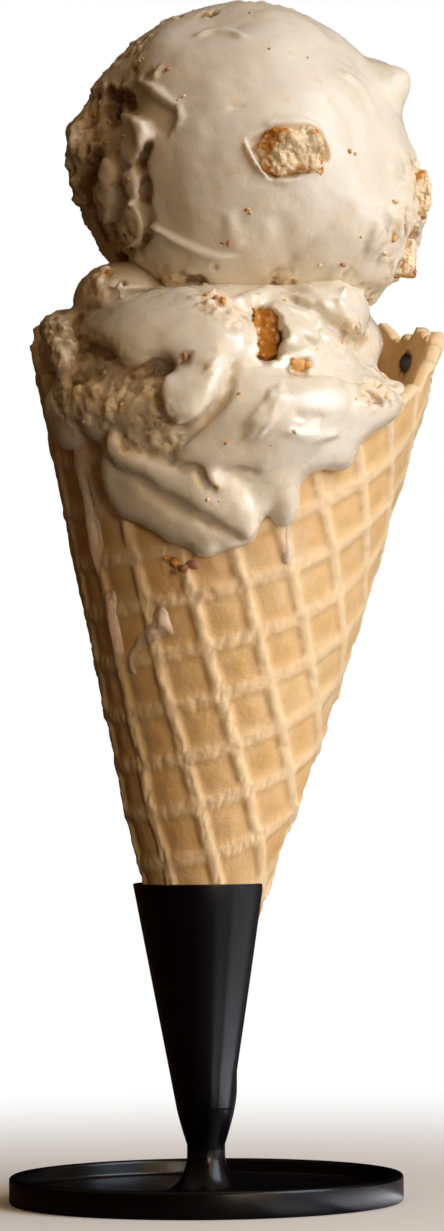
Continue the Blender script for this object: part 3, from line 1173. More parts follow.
def within(flat, outline):
    """For places on a plane: how far inside a closed outline (0 at the edge, 1 once past the edge's
    width), and for places outside it the distance and the width of the nearest edge."""
    inside = np.zeros(len(flat), dtype=bool)
    reach = np.full(len(flat), np.inf)
    gap = np.full(len(flat), np.inf)
    width = np.ones(len(flat))
    for start, end in zip(outline, np.roll(outline, -1, axis=0)):
        crosses = (start[1] > flat[:, 1]) != (end[1] > flat[:, 1])
        rise = end[1] - start[1]
        if abs(rise) > 1e-9:
            edge = start[0] + (flat[:, 1] - start[1]) / rise * (end[0] - start[0])
            inside ^= crosses & (flat[:, 0] < edge)
        span = end[:2] - start[:2]
        share = np.clip((flat - start[:2]) @ span / max(span @ span, 1e-12), 0, 1)
        away = np.linalg.norm(flat - start[:2] - share[:, None] * span, axis=1)
        reach = np.minimum(reach, away / start[2])
        nearer = away < gap
        width[nearer] = start[2]
        gap = np.minimum(gap, away)
    return np.where(inside, np.minimum(reach, 1), 0), np.where(inside, 0, gap), width


def lay_sheets(points, outwards, middle, sheets, wander=0.5):
    """Raise overlapping sheets towards the viewer, with rounded edges and a tuck below them."""
    flat = as_seen(points, middle)
    flat = flat + np.stack((grain(points, 3 * MM, 2, 51), grain(points, 3 * MM, 2, 52)), axis=-1) * wander
    front = smooth_step((middle.y + 4 * MM - points[:, 1]) / (6 * MM))
    for corners, height, tuck in sheets.values():
        outline = rounded_outline(corners)
        near = np.nonzero((front > 0) & (np.abs(flat - outline[:, :2].mean(axis=0))
                                         < np.ptp(outline[:, :2], axis=0) / 2 + 6).all(axis=1))[0]
        reach, gap, width = within(flat[near], outline)
        lift = height * np.sqrt(1 - (1 - reach) ** 2)
        narrow = np.clip((3.0 - width) / 1.5, 0, 1)
        lift -= tuck * narrow * np.where(reach > 0, 0, smooth_step(1 - gap / 2.2))
        points[near] += outwards[near] * (lift * front[near] * MM)[:, None]


def roughness_fields(piece, torn, squash):
    """Tear the marked patches, and leave the rest with the faint waves of a scraped surface."""
    points = places(piece)
    normals = facing(piece)
    upright = points * np.array((1, 1, squash))
    coarse = grain(upright, 2.3 * MM, 2, 11)
    fine = grain(points, 1.1 * MM, 3, 12)
    waves = grain(points, 11 * MM, 2, 13) * 0.34 * MM + grain(points, 5 * MM, 2, 15) * 0.13 * MM
    faint = grain(points, 2.2 * MM, 2, 14) * 0.05 * MM
    tearing = (coarse * (1.35 - 0.95 * squash) + fine * (0.62 - 0.28 * squash)) * MM
    lift = waves + faint + torn * tearing
    put(piece, points + normals * lift[:, None])
    return smooth_step((-coarse - fine * 0.5 - 0.15) / 0.5) * torn * (1.45 - 0.9 * squash)


def finish_cream(piece, torn_at, pits_from, squash):
    """Tear the marked patches; a squash below 1 draws the tears out upwards."""
    pits = roughness_fields(piece, torn_at, squash)
    mark(piece, "torn", torn_at)
    mark(piece, "pit", np.clip(pits + pits_from, 0, 1))


def scooped_cream(values, name, wet, gloss):
    """Ice cream, smooth or torn; wet is the roughness where it is wettest, gloss its specular level."""
    material, tree, shader = new_material(
        name, Subsurface_Weight=0.25, Subsurface_Scale=0.0022, Specular_IOR_Level=gloss)
    shader.inputs["Subsurface Radius"].default_value = (1.0, 0.62, 0.36)
    torn = attribute(tree, "torn")
    patches = mottle(tree, 160, 0.35, 0.65, 2)
    crystals = mottle(tree, 1500, 0.2, 0.8, 2, 0.6)
    cream = mix_colour(tree, mottle(tree, 70, 0.35, 0.7, 3, 0.55), values.colour,
                       [values.colour[0] * 0.96, values.colour[1] * 0.93, values.colour[2] * 0.88])
    rough_cream = mix_colour(tree, maths(tree, "MULTIPLY", torn, span(tree, patches, 0.35, 1.0)), cream,
                             values.torn)
    dirty = maths(tree, "MULTIPLY", torn, mottle(tree, 330, 0.52, 0.68, 4, 0.7))
    grubby = maths(tree, "MULTIPLY", dirty, 0.55)
    browned = mix_colour(tree, grubby, rough_cream, values.pit)
    yellow = maths(tree, "MULTIPLY", mottle(tree, 430, 0.63, 0.72, 2), 0.35)
    flecked = mix_colour(tree, yellow, browned, (0.82, 0.56, 0.24))
    deep = mix_colour(tree, maths(tree, "MULTIPLY", attribute(tree, "pit"), 0.9), flecked, values.pit)
    tree.links.new(deep, shader.inputs["Base Color"])
    dryness = maths(tree, "ADD", maths(tree, "MULTIPLY", torn, 0.5),
                    maths(tree, "MULTIPLY", patches, 0.5))
    tree.links.new(span(tree, dryness, wet, 0.62), shader.inputs["Roughness"])
    coarse = maths(tree, "MULTIPLY", mottle(tree, 480, 0.2, 0.8, 4, 0.7), maths(tree, "ADD", torn, 0.09))
    grainy = maths(tree, "ADD", maths(tree, "MULTIPLY", crystals, 0.12), coarse)
    bump(tree, shader, grainy, 0.14 * MM)
    return material


def melted_cream():
    """The thin, glossy melt on the waffle."""
    material, tree, shader = new_material(
        "melted_cream", Specular_IOR_Level=0.6, Subsurface_Weight=0.2, Subsurface_Scale=0.001)
    streaks = mottle(tree, 260, 0.35, 0.65, 3)
    tree.links.new(mix_colour(tree, streaks, (0.77, 0.62, 0.46), (0.72, 0.50, 0.31)),
                   shader.inputs["Base Color"])
    tree.links.new(span(tree, streaks, 0.12, 0.30), shader.inputs["Roughness"])
    bump(tree, shader, mottle(tree, 700, detail=2), 0.05 * MM)
    return material


def make_upper(values):
    """The upper ball: pushed, hung with rags, kneaded, then scraped, torn and pocketed."""
    picks = random.Random(21)
    ball = add(bpy.ops.mesh.primitive_ico_sphere_add, "upper_scoop_torn", subdivisions=7,
               radius=UPPER_RADIUS, location=UPPER_CENTRE)
    settle(ball)
    centre = np.array(UPPER_CENTRE)
    points = places(ball)
    outwards = outwards_from(points, centre)
    for azimuth, elevation, spread, height in UPPER_PUSHES.values():
        place = centre + np.array(direction(azimuth, elevation)) * UPPER_RADIUS
        near = np.linalg.norm(points - place, axis=1) / (spread * MM)
        points += outwards * (smooth_step(1 - near / 2) * height * MM)[:, None]
    put(ball, points)

    surface = surface_of(ball)
    spots = []
    for azimuth, elevation, spread, count, (small, large) in UPPER_RAGS:
        for _ in range(count):
            radius = picks.uniform(small, large) * MM
            towards = direction(picks.gauss(azimuth, spread), picks.gauss(elevation, spread * 0.6))
            hit = surface.ray_cast(UPPER_CENTRE + towards * 60 * MM, -towards)[0]
            place = hit + towards * radius * picks.uniform(-0.6, 0.1)
            spots.append((place, radius, lying(picks, towards, 40)))
    ball = rags(ball, spots)
    knead(ball, values.grain, 4)

    points = places(ball)
    lay_sheets(points, facing(ball), UPPER_CENTRE, UPPER_SHEETS)
    put(ball, points)
    knead(ball, values.grain, 2)

    points, normals, lines = seen_strokes(ball, UPPER_CENTRE, UPPER_STROKES)
    for bends, half_width, height in UPPER_BACK_STROKES.values():
        line = [centre + np.array(direction(*bend)) * UPPER_RADIUS for bend in curve(bends)]
        stroke(points, normals, line, half_width, height)
    put(ball, points)
    lay_sheets(points, outwards_from(points, centre), UPPER_CENTRE, FRONT_POCKET, 0.15)
    for name in ("biscuit_chunk_right", "biscuit_chunk_skirt"):
        carve_pocket(points, *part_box(name), np.array(direction(*CHUNKS[name][:2])))
    put(ball, points)

    outwards = outwards_from(points, centre)
    torn = np.zeros(len(points))
    for azimuth, elevation, radius in UPPER_TORN:
        away = np.linalg.norm(outwards - np.array(direction(azimuth, elevation)), axis=1) * UPPER_RADIUS
        torn = np.maximum(torn, smooth_step(1.5 - away / (radius * MM)))
    torn *= smooth_step(grain(points, 6 * MM, 2, 6) * 1.6 + 0.9)
    finish_cream(ball, torn, deep_pits(points, lines, UPPER_STROKES, -1.2, 1.9), 0.55)
    return ball


def carve_pocket(points, low, high, towards):
    """Press a steep-sided pocket into the cream, in the outline of the chunk that lies in it."""
    centre = np.array((low + high) / 2)
    across = np.array(Vector((0, 0, 1)).cross(Vector(towards)).normalized())
    upright = np.cross(towards, across)
    from_centre = points - centre
    corners = np.array(list(itertools.product(*zip(low, high))))
    width = np.abs((corners - centre) @ across).max() * 0.86
    height = np.abs((corners - centre) @ upright).max() * 0.98
    depth = from_centre @ towards
    wander = 1 + 0.38 * grain(points, 4 * MM, 3, 41)
    sideways = from_centre @ across + 0.12 * (from_centre @ upright)
    off = ((np.abs(sideways) / width) ** 2.3 + (np.abs(from_centre @ upright) / height) ** 2.3) ** (1 / 2.3)
    inside = smooth_step((1.22 - off * wander) / 0.42) * (depth > -12 * MM)
    drop = np.maximum(0, depth + 1.5 * MM) * inside
    points -= drop[:, None] * towards


def on_cone_as_seen(x, height):
    """Azimuth and height along the cone of the place on its outside that the viewer sees there (mm)."""
    back = cone_frame().inverted()
    seen = Vector((LOWER_CENTRE.x + x * MM, LOWER_CENTRE.y, LOWER_CENTRE.z + height * MM))
    azimuth = FRONT
    radius = 36 * MM
    for _ in range(6):
        depth = AXIS.y + radius * math.sin(azimuth)
        place = VIEWER + (seen - VIEWER) * (depth - VIEWER.y) / (seen.y - VIEWER.y)
        local = back @ place
        radius = float(crest_radius(local.z)) + APRON_THICKNESS / 2
        azimuth = -math.acos(max(-0.999, min(0.999, local.x / radius)))
    return azimuth, local.z


def make_sheet(name, edges, low, high, span, thickness_at):
    """A film of cream on the outside of the cone: a grid laid on it, trimmed and thickened."""
    columns, rows = span
    sheet = add(bpy.ops.mesh.primitive_grid_add, name, x_subdivisions=columns, y_subdivisions=rows, size=2)
    flat = places(sheet)
    azimuth = low[0] + (high[0] - low[0]) * (flat[:, 0] + 1) / 2
    along = low[1] + (high[1] - low[1]) * (flat[:, 1] + 1) / 2
    spread = np.stack((azimuth * APRON_REACH, along / MM), axis=-1)
    level = np.column_stack((spread, np.zeros(len(flat))))
    wander = np.stack((grain(level, 4, 2, 31), grain(level, 4, 2, 32)), axis=-1) * 0.5
    reach = np.zeros(len(flat))
    gap = np.full(len(flat), np.inf)
    for corners in edges:
        outline = np.array([(turn * APRON_REACH, height / MM, APRON_ROUNDING / MM)
                            for turn, height in corners])
        found, away, _ = within(spread + wander, outline)
        reach = np.maximum(reach, found)
        gap = np.minimum(gap, away)
    thickness = (thickness_at(azimuth, along) * np.sqrt(1 - (1 - reach) ** 2)
                 * (1 + 0.2 * grain(level, 8, 2, 33)))
    put(sheet, on_cone(azimuth, along, np.where(reach > 0, thickness - 0.7 * MM * (1 - reach), -1.0 * MM)))
    select_points(sheet, (reach <= 0) & (gap > 1.0))
    bpy.ops.mesh.delete(type="VERT")
    bpy.ops.mesh.select_all(action="SELECT")
    bpy.ops.mesh.normals_make_consistent(inside=False)
    bpy.ops.object.mode_set(mode="OBJECT")
    return sheet


def make_apron():
    """The sheet of melted cream that hangs over the rim."""
    front = [on_cone_as_seen(*bend) for bend in APRON_EDGE]
    corners = list(front)
    edge = [front[-1][0], front[0][0]]
    for share in np.linspace(0, 1, 12):
        azimuth = edge[0] + (edge[1] - edge[0]) * share
        lip = 3.5 * MM * smooth_step(math.sin(share * math.pi) * 2) - 0.5 * MM
        corners.append((azimuth, float(rim_along(azimuth)) + lip))

    def thickness(azimuth, along):
        rim = rim_along(azimuth)
        below = np.clip((rim - along) / (14 * MM), 0, 1)
        middle = np.exp(-((azimuth - FRONT - 0.1) / 0.75) ** 2)
        over = np.clip((along - rim + 1.5 * MM) / (5 * MM), 0, 1.6)
        hanging = APRON_THICKNESS * (0.45 + 0.55 * middle)
        return hanging + APRON_SWELL * middle * (1 - below) - over ** 2 * 5 * MM

    leftmost = min(turn for turn, _ in front)
    apron = make_sheet("apron", [corners], (leftmost - 0.02, 106 * MM), (edge[0] + 0.02, CONE_RIM + 4 * MM),
                       (230, 80), thickness)
    apply_modifier(apron, "SOLIDIFY", thickness=1.6 * MM, offset=-1)
    apron.data.transform(cone_frame())
    return apron


def make_films():
    """Thin films of melt on the waffle, below the cream's edge."""
    outlines = [[on_cone_as_seen(*corner) for corner in film] for film in FILMS]
    turns = [turn for outline in outlines for turn, _ in outline]
    heights = [height for outline in outlines for _, height in outline]
    films = make_sheet("melted_films", outlines, (min(turns) - 0.03, min(heights) - MM),
                       (max(turns) + 0.03, max(heights) + MM), (260, 190),
                       lambda azimuth, along: FILM_THICKNESS)
    points = places(films)
    along = points[:, 2]
    azimuth = np.arctan2(points[:, 1], points[:, 0])
    waffle = bpy.context.scene.waffle_cone
    ridges, _, _ = waffle_relief(azimuth, along, waffle.pitch)
    sunk = (1 - ridges) * waffle.height * 0.75
    put(films, points - np.stack((np.cos(azimuth), np.sin(azimuth), np.zeros(len(along))), axis=-1)
        * sunk[:, None])
    apply_modifier(films, "SOLIDIFY", thickness=0.5 * MM, offset=-1)
    films.data.transform(cone_frame())
    return films


def make_lower(values):
    """The lower scoop: lumps and the apron kneaded into one, then laid over, torn and pocketed."""
    picks = random.Random(34)
    parts = []
    for name, (centre, radii, turn) in LOWER_LUMPS.items():
        place = LOWER_CENTRE + Vector(centre) * MM
        parts.append(lump(name, place, Vector(radii) * MM, Matrix.Rotation(math.radians(turn), 4, "Z")))
    parts.append(make_apron())
    scoop = join(parts, "lower_scoop_melting")
    knead(scoop, 0.7 * MM, 9)
    points = places(scoop)
    lay_sheets(points, facing(scoop), LOWER_CENTRE, LOWER_SHEETS)
    put(scoop, points)
    knead(scoop, values.grain, 2)

    surface = surface_of(scoop)
    spots = []
    for x, height, spread, count, (small, large) in LOWER_RAGS:
        for _ in range(count):
            radius = picks.uniform(small, large) * MM
            seen = (picks.gauss(x, spread * 0.6), picks.gauss(height, spread * 0.6))
            hit = in_sight(surface, LOWER_CENTRE, *seen)
            if hit is not None:
                towards = Vector((hit[0] - LOWER_CENTRE.x, hit[1] - LOWER_CENTRE.y, 0)).normalized()
                spots.append((Vector(hit) + towards * radius * picks.uniform(-0.6, 0.1), radius,
                              lying(picks, towards, 50)))
    scoop = rags(scoop, spots)
    knead(scoop, values.grain, 2)

    points, _, lines = seen_strokes(scoop, LOWER_CENTRE, LOWER_STROKES)
    towards = np.array(direction(*CHUNKS["biscuit_chunk_low"][:2]))
    carve_pocket(points, *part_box("biscuit_chunk_low"), towards)
    points[:, 1] += np.maximum(FRONT_LIMIT - points[:, 1], 0) * 0.7
    put(scoop, points)
    flat = as_seen(points, LOWER_CENTRE)
    front = smooth_step((LOWER_CENTRE.y + 6 * MM - points[:, 1]) / (10 * MM))
    torn = np.zeros(len(points))
    for x, height, radius in LOWER_TORN:
        away = np.linalg.norm(flat - np.array((x, height)), axis=1)
        torn = np.maximum(torn, smooth_step(1.5 - away / radius) * front)
    torn = np.maximum(torn, (1 - front) * smooth_step(grain(points, 9 * MM, 2, 8) + 0.5))
    torn *= smooth_step(grain(points, 4 * MM, 2, 6) * 1.6 + 1.1)
    finish_cream(scoop, torn, deep_pits(points, lines, LOWER_STROKES, -1.35, 1.4) * 0.8, 1.0)
    return scoop


def make_fill():
    """The cream packed down inside the cone."""
    foot = Vector(on_cone(0.0, 30 * MM, -2.9 * MM))
    top = Vector(on_cone(0.0, 128 * MM, -2.9 * MM))
    fill = add(bpy.ops.mesh.primitive_cone_add, "cream_in_cone", vertices=48, radius1=foot.x,
               radius2=top.x, depth=top.z - foot.z)
    bpy.ops.object.mode_set(mode="EDIT")
    bpy.ops.mesh.bevel(offset=1.2 * MM, segments=2)
    bpy.ops.object.mode_set(mode="OBJECT")
    fill.data.transform(cone_frame() @ Matrix.Translation((0, 0, (foot.z + top.z) / 2)))
    return fill


class CONE_OT_upper_scoop(bpy.types.Operator):
    """Build the upper scoop"""
    bl_idname = "ice_cream_cone.upper_scoop"
    bl_label = "Upper scoop"

    def execute(self, context):
        values = context.scene.ice_cream
        cream = scooped_cream(values, "scooped_cream", 0.28, 0.5)
        dress(make_upper(values), cream, "ice_cream", "upper_scoop")
        return {"FINISHED"}


class CONE_OT_lower_scoop(bpy.types.Operator):
    """Build the lower scoop and the cream inside the cone"""
    bl_idname = "ice_cream_cone.lower_scoop"
    bl_label = "Lower scoop"

    def execute(self, context):
        values = context.scene.ice_cream
        cream = scooped_cream(values, "melting_cream", 0.15, 0.9)
        dress(make_lower(values), cream, "ice_cream", "lower_scoop")
        dress(make_films(), melted_cream(), "ice_cream")
        fill = make_fill()
        mark(fill, "torn", np.zeros(len(fill.data.vertices)))
        dress(fill, cream, "ice_cream")
        return {"FINISHED"}


# ---------------------------------------------------------------- biscuit

def biscuit(name, inside, crust, crust_from):
    """Crumbly biscuit that turns to its crust colour in patches."""
    material, tree, shader = new_material(name, Roughness=0.8, Specular_IOR_Level=0.25)
    crusty = maths(tree, "MAXIMUM", mottle(tree, 260, crust_from, crust_from + 0.12, 3, 0.6),
                   attribute(tree, "crust"))
    base = mix_colour(tree, crusty, inside, crust)
    light = maths(tree, "MULTIPLY", mottle(tree, 700, 0.55, 0.7, 4, 0.7), 0.4)
    lit = mix_colour(tree, light, base, [min(1.0, c * 1.12) for c in inside])
    dark = maths(tree, "MULTIPLY", mottle(tree, 800, 0.58, 0.74, 3, 0.7), 0.4)
    tree.links.new(mix_colour(tree, dark, lit, crust), shader.inputs["Base Color"])
    bump(tree, shader, mottle(tree, 650, 0.2, 0.8, 4, 0.7), 0.22 * MM)
    return material


def make_chunk(name, node_name, azimuth, elevation, size, out, crusty, seed):
    """A broken block of biscuit, fitted into its box."""
    low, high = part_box(node_name)
    middle = (low + high) / 2
    noise.seed_set(seed)                # otherwise noise_vector differs from run to run
    chunk = add(bpy.ops.mesh.primitive_cube_add, name, size=2)
    bpy.ops.object.mode_set(mode="EDIT")
    bpy.ops.mesh.subdivide(number_cuts=40)
    bpy.ops.object.mode_set(mode="OBJECT")
    points = places(chunk)
    rounded = points / np.linalg.norm(points, axis=1)[:, None] * 1.3
    points = points * 0.6 + rounded * 0.4
    shift = Vector((seed, 0, 0))
    points += np.array([noise.noise_vector(Vector(p) * 1.1 + shift) for p in points.tolist()]) * 0.3
    block = points / np.abs(points).max(axis=0)
    put(chunk, block * np.array((high - low) / 2) * size)
    points = places(chunk)
    normals = facing(chunk)
    lumpy = grain(points, 1.7 * MM, 3, seed) * 0.40 * MM
    pitted = np.minimum(0, grain(points, 1.1 * MM, 2, seed + 1) + 0.1) * 0.50 * MM
    put(chunk, points * 0.97 + normals * (lumpy + pitted)[:, None])
    across = block @ np.array(Vector((0, 0, 1)).cross(direction(azimuth, elevation)).normalized())
    ends = np.abs(across + 0.15) * 1.2 - 0.62 + 0.5 * grain(points, 1.8 * MM, 2, seed + 2)
    foot = -block[:, 2] * 1.1 - 0.75 + 0.6 * grain(points, 2.2 * MM, 2, seed + 3)
    corner = -across * 0.9 + block[:, 2] * 0.9 - 0.85 + 0.4 * grain(points, 1.6 * MM, 2, seed + 4)
    browned = np.maximum.reduce((ends, foot, corner))
    if crusty:
        browned = np.maximum(browned, crusty * 2 - 0.9 + 0.8 * grain(points, 1.5 * MM, 2, seed + 5))
    mark(chunk, "crust", smooth_step(browned * 2.5))
    chunk.data.transform(Matrix.Translation(middle + direction(azimuth, elevation) * out * MM))
    return chunk


def crumbs(kind, count, size, seed):
    """All the crumbs of one kind: one rough crumb, copied to places on both scoops."""
    picks = random.Random(seed)
    surfaces = ((surface_of(bpy.data.objects["upper_scoop_torn"]), UPPER_CENTRE, UPPER_CRUMBS[kind]),
                (surface_of(bpy.data.objects["lower_scoop_melting"]), LOWER_CENTRE, LOWER_CRUMBS[kind]))
    cone = surface_of(bpy.data.objects["waffle_cone_rolled"])
    spots = []
    for surface, middle, named in surfaces:
        for x, height, radius in named:
            place = in_sight(surface, middle, x, height)
            if place is None:
                place = in_sight(cone, middle, x, height)
            spots.append((Vector(place), radius * MM))
        torn = UPPER_TORN if middle is UPPER_CENTRE else ()
        for _ in range(count // 2):
            if torn and picks.random() < 0.6:
                azimuth, elevation, radius = picks.choice(torn)
                towards = direction(picks.gauss(azimuth, radius), picks.gauss(elevation, radius))
            elif torn:
                towards = direction(picks.uniform(0, 360), picks.uniform(-50, 75))
            else:
                towards = direction(picks.uniform(0, 360), picks.uniform(-38, 45))
            start = middle + towards * 60 * MM
            hit = surface.ray_cast(start, -towards)[0]
            if hit is not None and (hit - cone.find_nearest(hit)[0]).length > 0.8 * MM:
                radius = picks.uniform(0.5, 1.0) * size * MM
                spots.append((hit - towards * radius * 0.4, radius))
    first = add(bpy.ops.mesh.primitive_ico_sphere_add, "crumb", subdivisions=2, radius=1)
    points = places(first)
    put(first, points * (1 + 0.45 * grain(points, 0.8, 2, seed))[:, None])
    placings = []
    for place, radius in spots:
        angle = picks.uniform(0, TURN)
        turn = Matrix.Rotation(angle, 4, direction(picks.uniform(0, 360), picks.uniform(-90, 90)))
        sides = (radius, radius * picks.uniform(0.6, 1.0), radius * picks.uniform(0.5, 0.9), 1)
        placings.append(Matrix.Translation(place) @ turn @ Matrix.Diagonal(sides))
    piece = join(copies_of(first, placings), f"crumbs_{kind}")
    mark(piece, "crust", np.zeros(len(piece.data.vertices)))
    return piece


class CONE_OT_biscuit_chunks(bpy.types.Operator):
    """Build the biscuit chunks in their pockets"""
    bl_idname = "ice_cream_cone.biscuit_chunks"
    bl_label = "Biscuit chunks"

    def execute(self, context):
        values = context.scene.biscuit
        material = biscuit("biscuit_broken", values.colour, values.crust, 0.60)
        for node_name, shape in CHUNKS.items():
            chunk = make_chunk(node_name.replace("biscuit_", "") + "_broken", node_name, *shape)
            dress(chunk, material, "biscuit", node_name)
        return {"FINISHED"}


class CONE_OT_crumbs(bpy.types.Operator):
    """Scatter the crumbs over the scoops"""
    bl_idname = "ice_cream_cone.crumbs"
    bl_label = "Crumbs"

    def execute(self, context):
        values = context.scene.biscuit
        kinds = (("golden", values.golden, 0.5, (0.86, 0.66, 0.36), values.crust, 0.66),
                 ("orange", values.orange, 0.6, (0.80, 0.44, 0.15), values.crust, 0.55),
                 ("reddish", values.reddish, 0.5, (0.56, 0.27, 0.14), (0.40, 0.14, 0.06), 0.55))
        for seed, (kind, count, size, inside, crust, crust_from) in enumerate(kinds):
            piece = crumbs(kind, count, size, 60 + seed)
            dress(piece, biscuit(f"biscuit_{kind}", inside, crust, crust_from), "biscuit")
        return {"FINISHED"}


# ---------------------------------------------------------------- stage

def make_floor(values):
    """A plain pale floor that fades into the white background behind."""
    floor = add(bpy.ops.mesh.primitive_circle_add, "floor", vertices=96, radius=6.0, fill_type="NGON")
    material, tree, shader = new_material("floor", Roughness=0.8, Specular_IOR_Level=0)
    where = node(tree, "ShaderNodeTexCoord").outputs["Object"]
    length = node(tree, "ShaderNodeVectorMath", operation="LENGTH")
    tree.links.new(where, length.inputs[0])
    far = ramp(tree, length.outputs["Value"], 0.02, 0.30)
    rays = node(tree, "ShaderNodeLightPath")
    seen = maths(tree, "MULTIPLY", far, rays.outputs["Is Camera Ray"])
    split = node(tree, "ShaderNodeSeparateXYZ")
    tree.links.new(where, split.inputs[0])
    bounce = mix_colour(tree, ramp(tree, split.outputs["X"], -0.06, 0.12), values.table, values.sill)
    tree.links.new(mix_colour(tree, rays.outputs["Is Camera Ray"], bounce, values.floor),
                   shader.inputs["Base Color"])
    # Bright patches that only reflections show, by azimuth and distance from the floor's middle.
    turned = maths(tree, "ARCTAN2", split.outputs["Y"], split.outputs["X"])
    bright = maths(tree, "MULTIPLY", ramp(tree, turned, math.radians(-43), math.radians(-36)),
                   ramp(tree, turned, math.radians(12), math.radians(2)))
    dim = maths(tree, "MULTIPLY", ramp(tree, turned, math.radians(-72), math.radians(-64)),
                ramp(tree, turned, math.radians(-44), math.radians(-50)))
    glint = maths(tree, "ADD", bright, maths(tree, "MULTIPLY", dim, 0.35))
    close = maths(tree, "MULTIPLY", ramp(tree, length.outputs["Value"], 0.14, 0.05), 0.74)
    glint = maths(tree, "MULTIPLY", glint, maths(tree, "ADD", close, 0.26))
    beyond = maths(tree, "MULTIPLY", ramp(tree, length.outputs["Value"], 0.034, 0.048), glint)
    reflected = maths(tree, "MULTIPLY", beyond, rays.outputs["Is Glossy Ray"])
    tree.links.new(mix_colour(tree, reflected, (0, 0, 0), (0.88, 0.91, 1.0)),
                   shader.inputs["Emission Color"])
    shader.inputs["Emission Strength"].default_value = 3.8
    white = node(tree, "ShaderNodeEmission")
    white.inputs["Color"].default_value = (1, 1, 1, 1)
    fade = node(tree, "ShaderNodeMixShader")
    tree.links.new(seen, fade.inputs["Fac"])
    tree.links.new(shader.outputs[0], fade.inputs[1])
    tree.links.new(white.outputs[0], fade.inputs[2])
    tree.links.new(fade.outputs[0], tree.nodes["Material Output"].inputs["Surface"])
    floor.data.materials.append(material)


def make_light(name, azimuth, elevation, distance, size, colour, aim_height, spread, power):
    """A soft rectangular light that faces the cone."""
    clear_selection()
    aim = Vector((0, 0, aim_height))
    place = aim + direction(azimuth, elevation) * distance
    turn = (aim - place).to_track_quat("-Z", "Y")
    bpy.ops.object.light_add(type="AREA", location=place, rotation=turn.to_euler())
    lamp = bpy.context.object
    lamp.name = name
    lamp.data.shape = "RECTANGLE"
    lamp.data.size, lamp.data.size_y = size
    lamp.data.energy = power
    lamp.data.color = colour
    lamp.data.spread = math.radians(spread)


def make_world(values):
    """A warm, dim room, brighter overhead and on the window's side; the camera sees a white backdrop."""
    world = bpy.data.worlds.new("studio")
    bpy.context.scene.world = world
    world.use_nodes = True
    tree = world.node_tree
    tree.nodes.clear()
    output = node(tree, "ShaderNodeOutputWorld")
    split = node(tree, "ShaderNodeSeparateXYZ")
    tree.links.new(node(tree, "ShaderNodeTexCoord").outputs["Generated"], split.inputs[0])
    rays = node(tree, "ShaderNodeLightPath")
    rightwards = ramp(tree, split.outputs["X"], -0.3, 1.0)
    behind = maths(tree, "MULTIPLY", ramp(tree, split.outputs["Y"], 0.2, 0.6),
                   rays.outputs["Is Glossy Ray"])
    upwards = ramp(tree, split.outputs["Z"], 0.1, 1.0)
    glow = maths(tree, "ADD", maths(tree, "MULTIPLY", rightwards, 0.55),
                 maths(tree, "MULTIPLY", upwards, 0.45))
    room = node(tree, "ShaderNodeBackground")
    lit = mix_colour(tree, glow, values.shade, (0.88, 0.60, 0.34))
    tree.links.new(mix_colour(tree, behind, lit, (0.006, 0.005, 0.008)), room.inputs["Color"])
    room.inputs["Strength"].default_value = values.room
    backdrop = node(tree, "ShaderNodeBackground")
    backdrop.inputs["Color"].default_value = (1, 1, 1, 1)
    choice = node(tree, "ShaderNodeMixShader")
    tree.links.new(rays.outputs["Is Camera Ray"], choice.inputs["Fac"])
    tree.links.new(room.outputs[0], choice.inputs[1])
    tree.links.new(backdrop.outputs[0], choice.inputs[2])
    tree.links.new(choice.outputs[0], output.inputs["Surface"])


def make_camera():
    """A long lens in front of the cone, a little under its middle and tilted slightly upwards."""
    ahead = Vector((0, math.cos(CAMERA_PITCH), math.sin(CAMERA_PITCH)))
    level_up = Vector((0, -math.sin(CAMERA_PITCH), math.cos(CAMERA_PITCH)))
    right = Vector((math.cos(CAMERA_ROLL), 0, 0)) - level_up * math.sin(CAMERA_ROLL)
    up = level_up * math.cos(CAMERA_ROLL) + Vector((math.sin(CAMERA_ROLL), 0, 0))
    clear_selection()
    bpy.ops.object.camera_add()
    camera = bpy.context.object
    camera.name = "camera"
    turn = Matrix((right, up, -ahead)).transposed()
    camera.matrix_world = Matrix.Translation(VIEWER) @ turn.to_4x4()
    camera.data.sensor_width = 36
    camera.data.lens = CAMERA_LENS
    camera.data.clip_start = 0.05
    bpy.context.scene.camera = camera


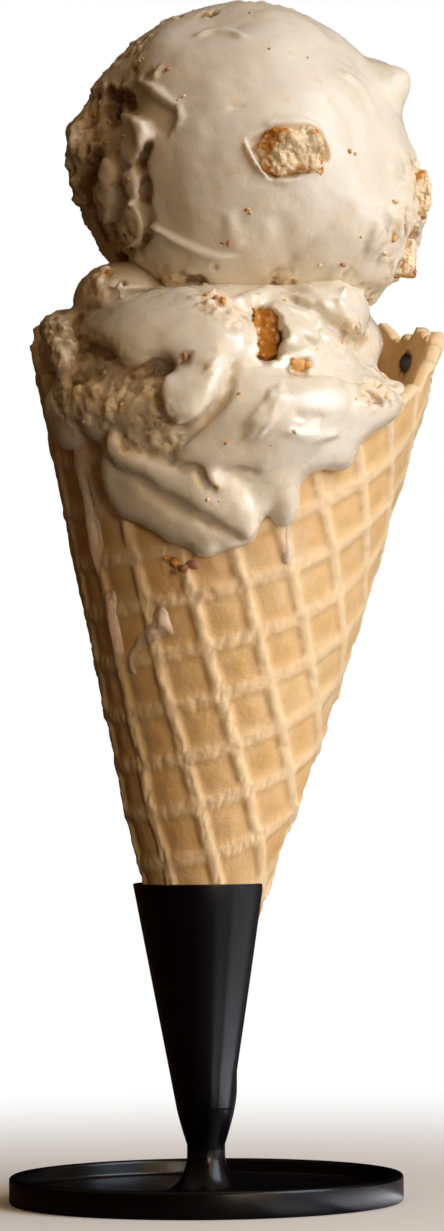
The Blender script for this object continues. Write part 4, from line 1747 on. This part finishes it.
class CONE_OT_stage(bpy.types.Operator):
    """Set up the floor, the lights and the camera"""
    bl_idname = "ice_cream_cone.stage"
    bl_label = "Stage"

    def execute(self, context):
        values = context.scene.cone_stage
        make_floor(values)
        for name, (*placing, setting, share) in LIGHTS.items():
            make_light(name, *placing, getattr(values, setting) * share)
        make_world(values)
        make_camera()
        context.scene.view_settings.view_transform = "Standard"
        return {"FINISHED"}


class CONE_PT_panel(bpy.types.Panel):
    """Lists the operators in the order that they run in"""
    bl_idname = "CONE_PT_panel"
    bl_label = "Ice cream cone"
    bl_space_type = "VIEW_3D"
    bl_region_type = "UI"
    bl_category = "Ice cream"

    def draw(self, context):
        for operator in OPERATORS:
            self.layout.operator(operator.bl_idname)
        for name in SETTINGS:
            values = getattr(context.scene, name)
            box = self.layout.box()
            for field in values.bl_rna.properties:
                if not field.is_readonly and field.identifier != "name":
                    box.prop(values, field.identifier)


SETTINGS = {
    "cone_holder": HolderSettings,
    "waffle_cone": ConeSettings,
    "ice_cream": CreamSettings,
    "biscuit": BiscuitSettings,
    "cone_stage": StageSettings,
}
OPERATORS = (
    CONE_OT_holder, CONE_OT_cone, CONE_OT_upper_scoop, CONE_OT_lower_scoop, CONE_OT_biscuit_chunks,
    CONE_OT_crumbs, CONE_OT_stage,
)


def register():
    for name, group in SETTINGS.items():
        bpy.utils.register_class(group)
        setattr(bpy.types.Scene, name, PointerProperty(type=group))
    for operator in OPERATORS:
        bpy.utils.register_class(operator)
    bpy.utils.register_class(CONE_PT_panel)


def unregister():
    bpy.utils.unregister_class(CONE_PT_panel)
    for operator in reversed(OPERATORS):
        bpy.utils.unregister_class(operator)
    for name, group in SETTINGS.items():
        delattr(bpy.types.Scene, name)
        bpy.utils.unregister_class(group)


def main():
    register()
    for operator in OPERATORS:
        family, name = operator.bl_idname.split(".")
        if getattr(getattr(bpy.ops, family), name)() != {"FINISHED"}:
            raise RuntimeError(f"{operator.bl_label} was not built")


if __name__ == "__main__":
    main()
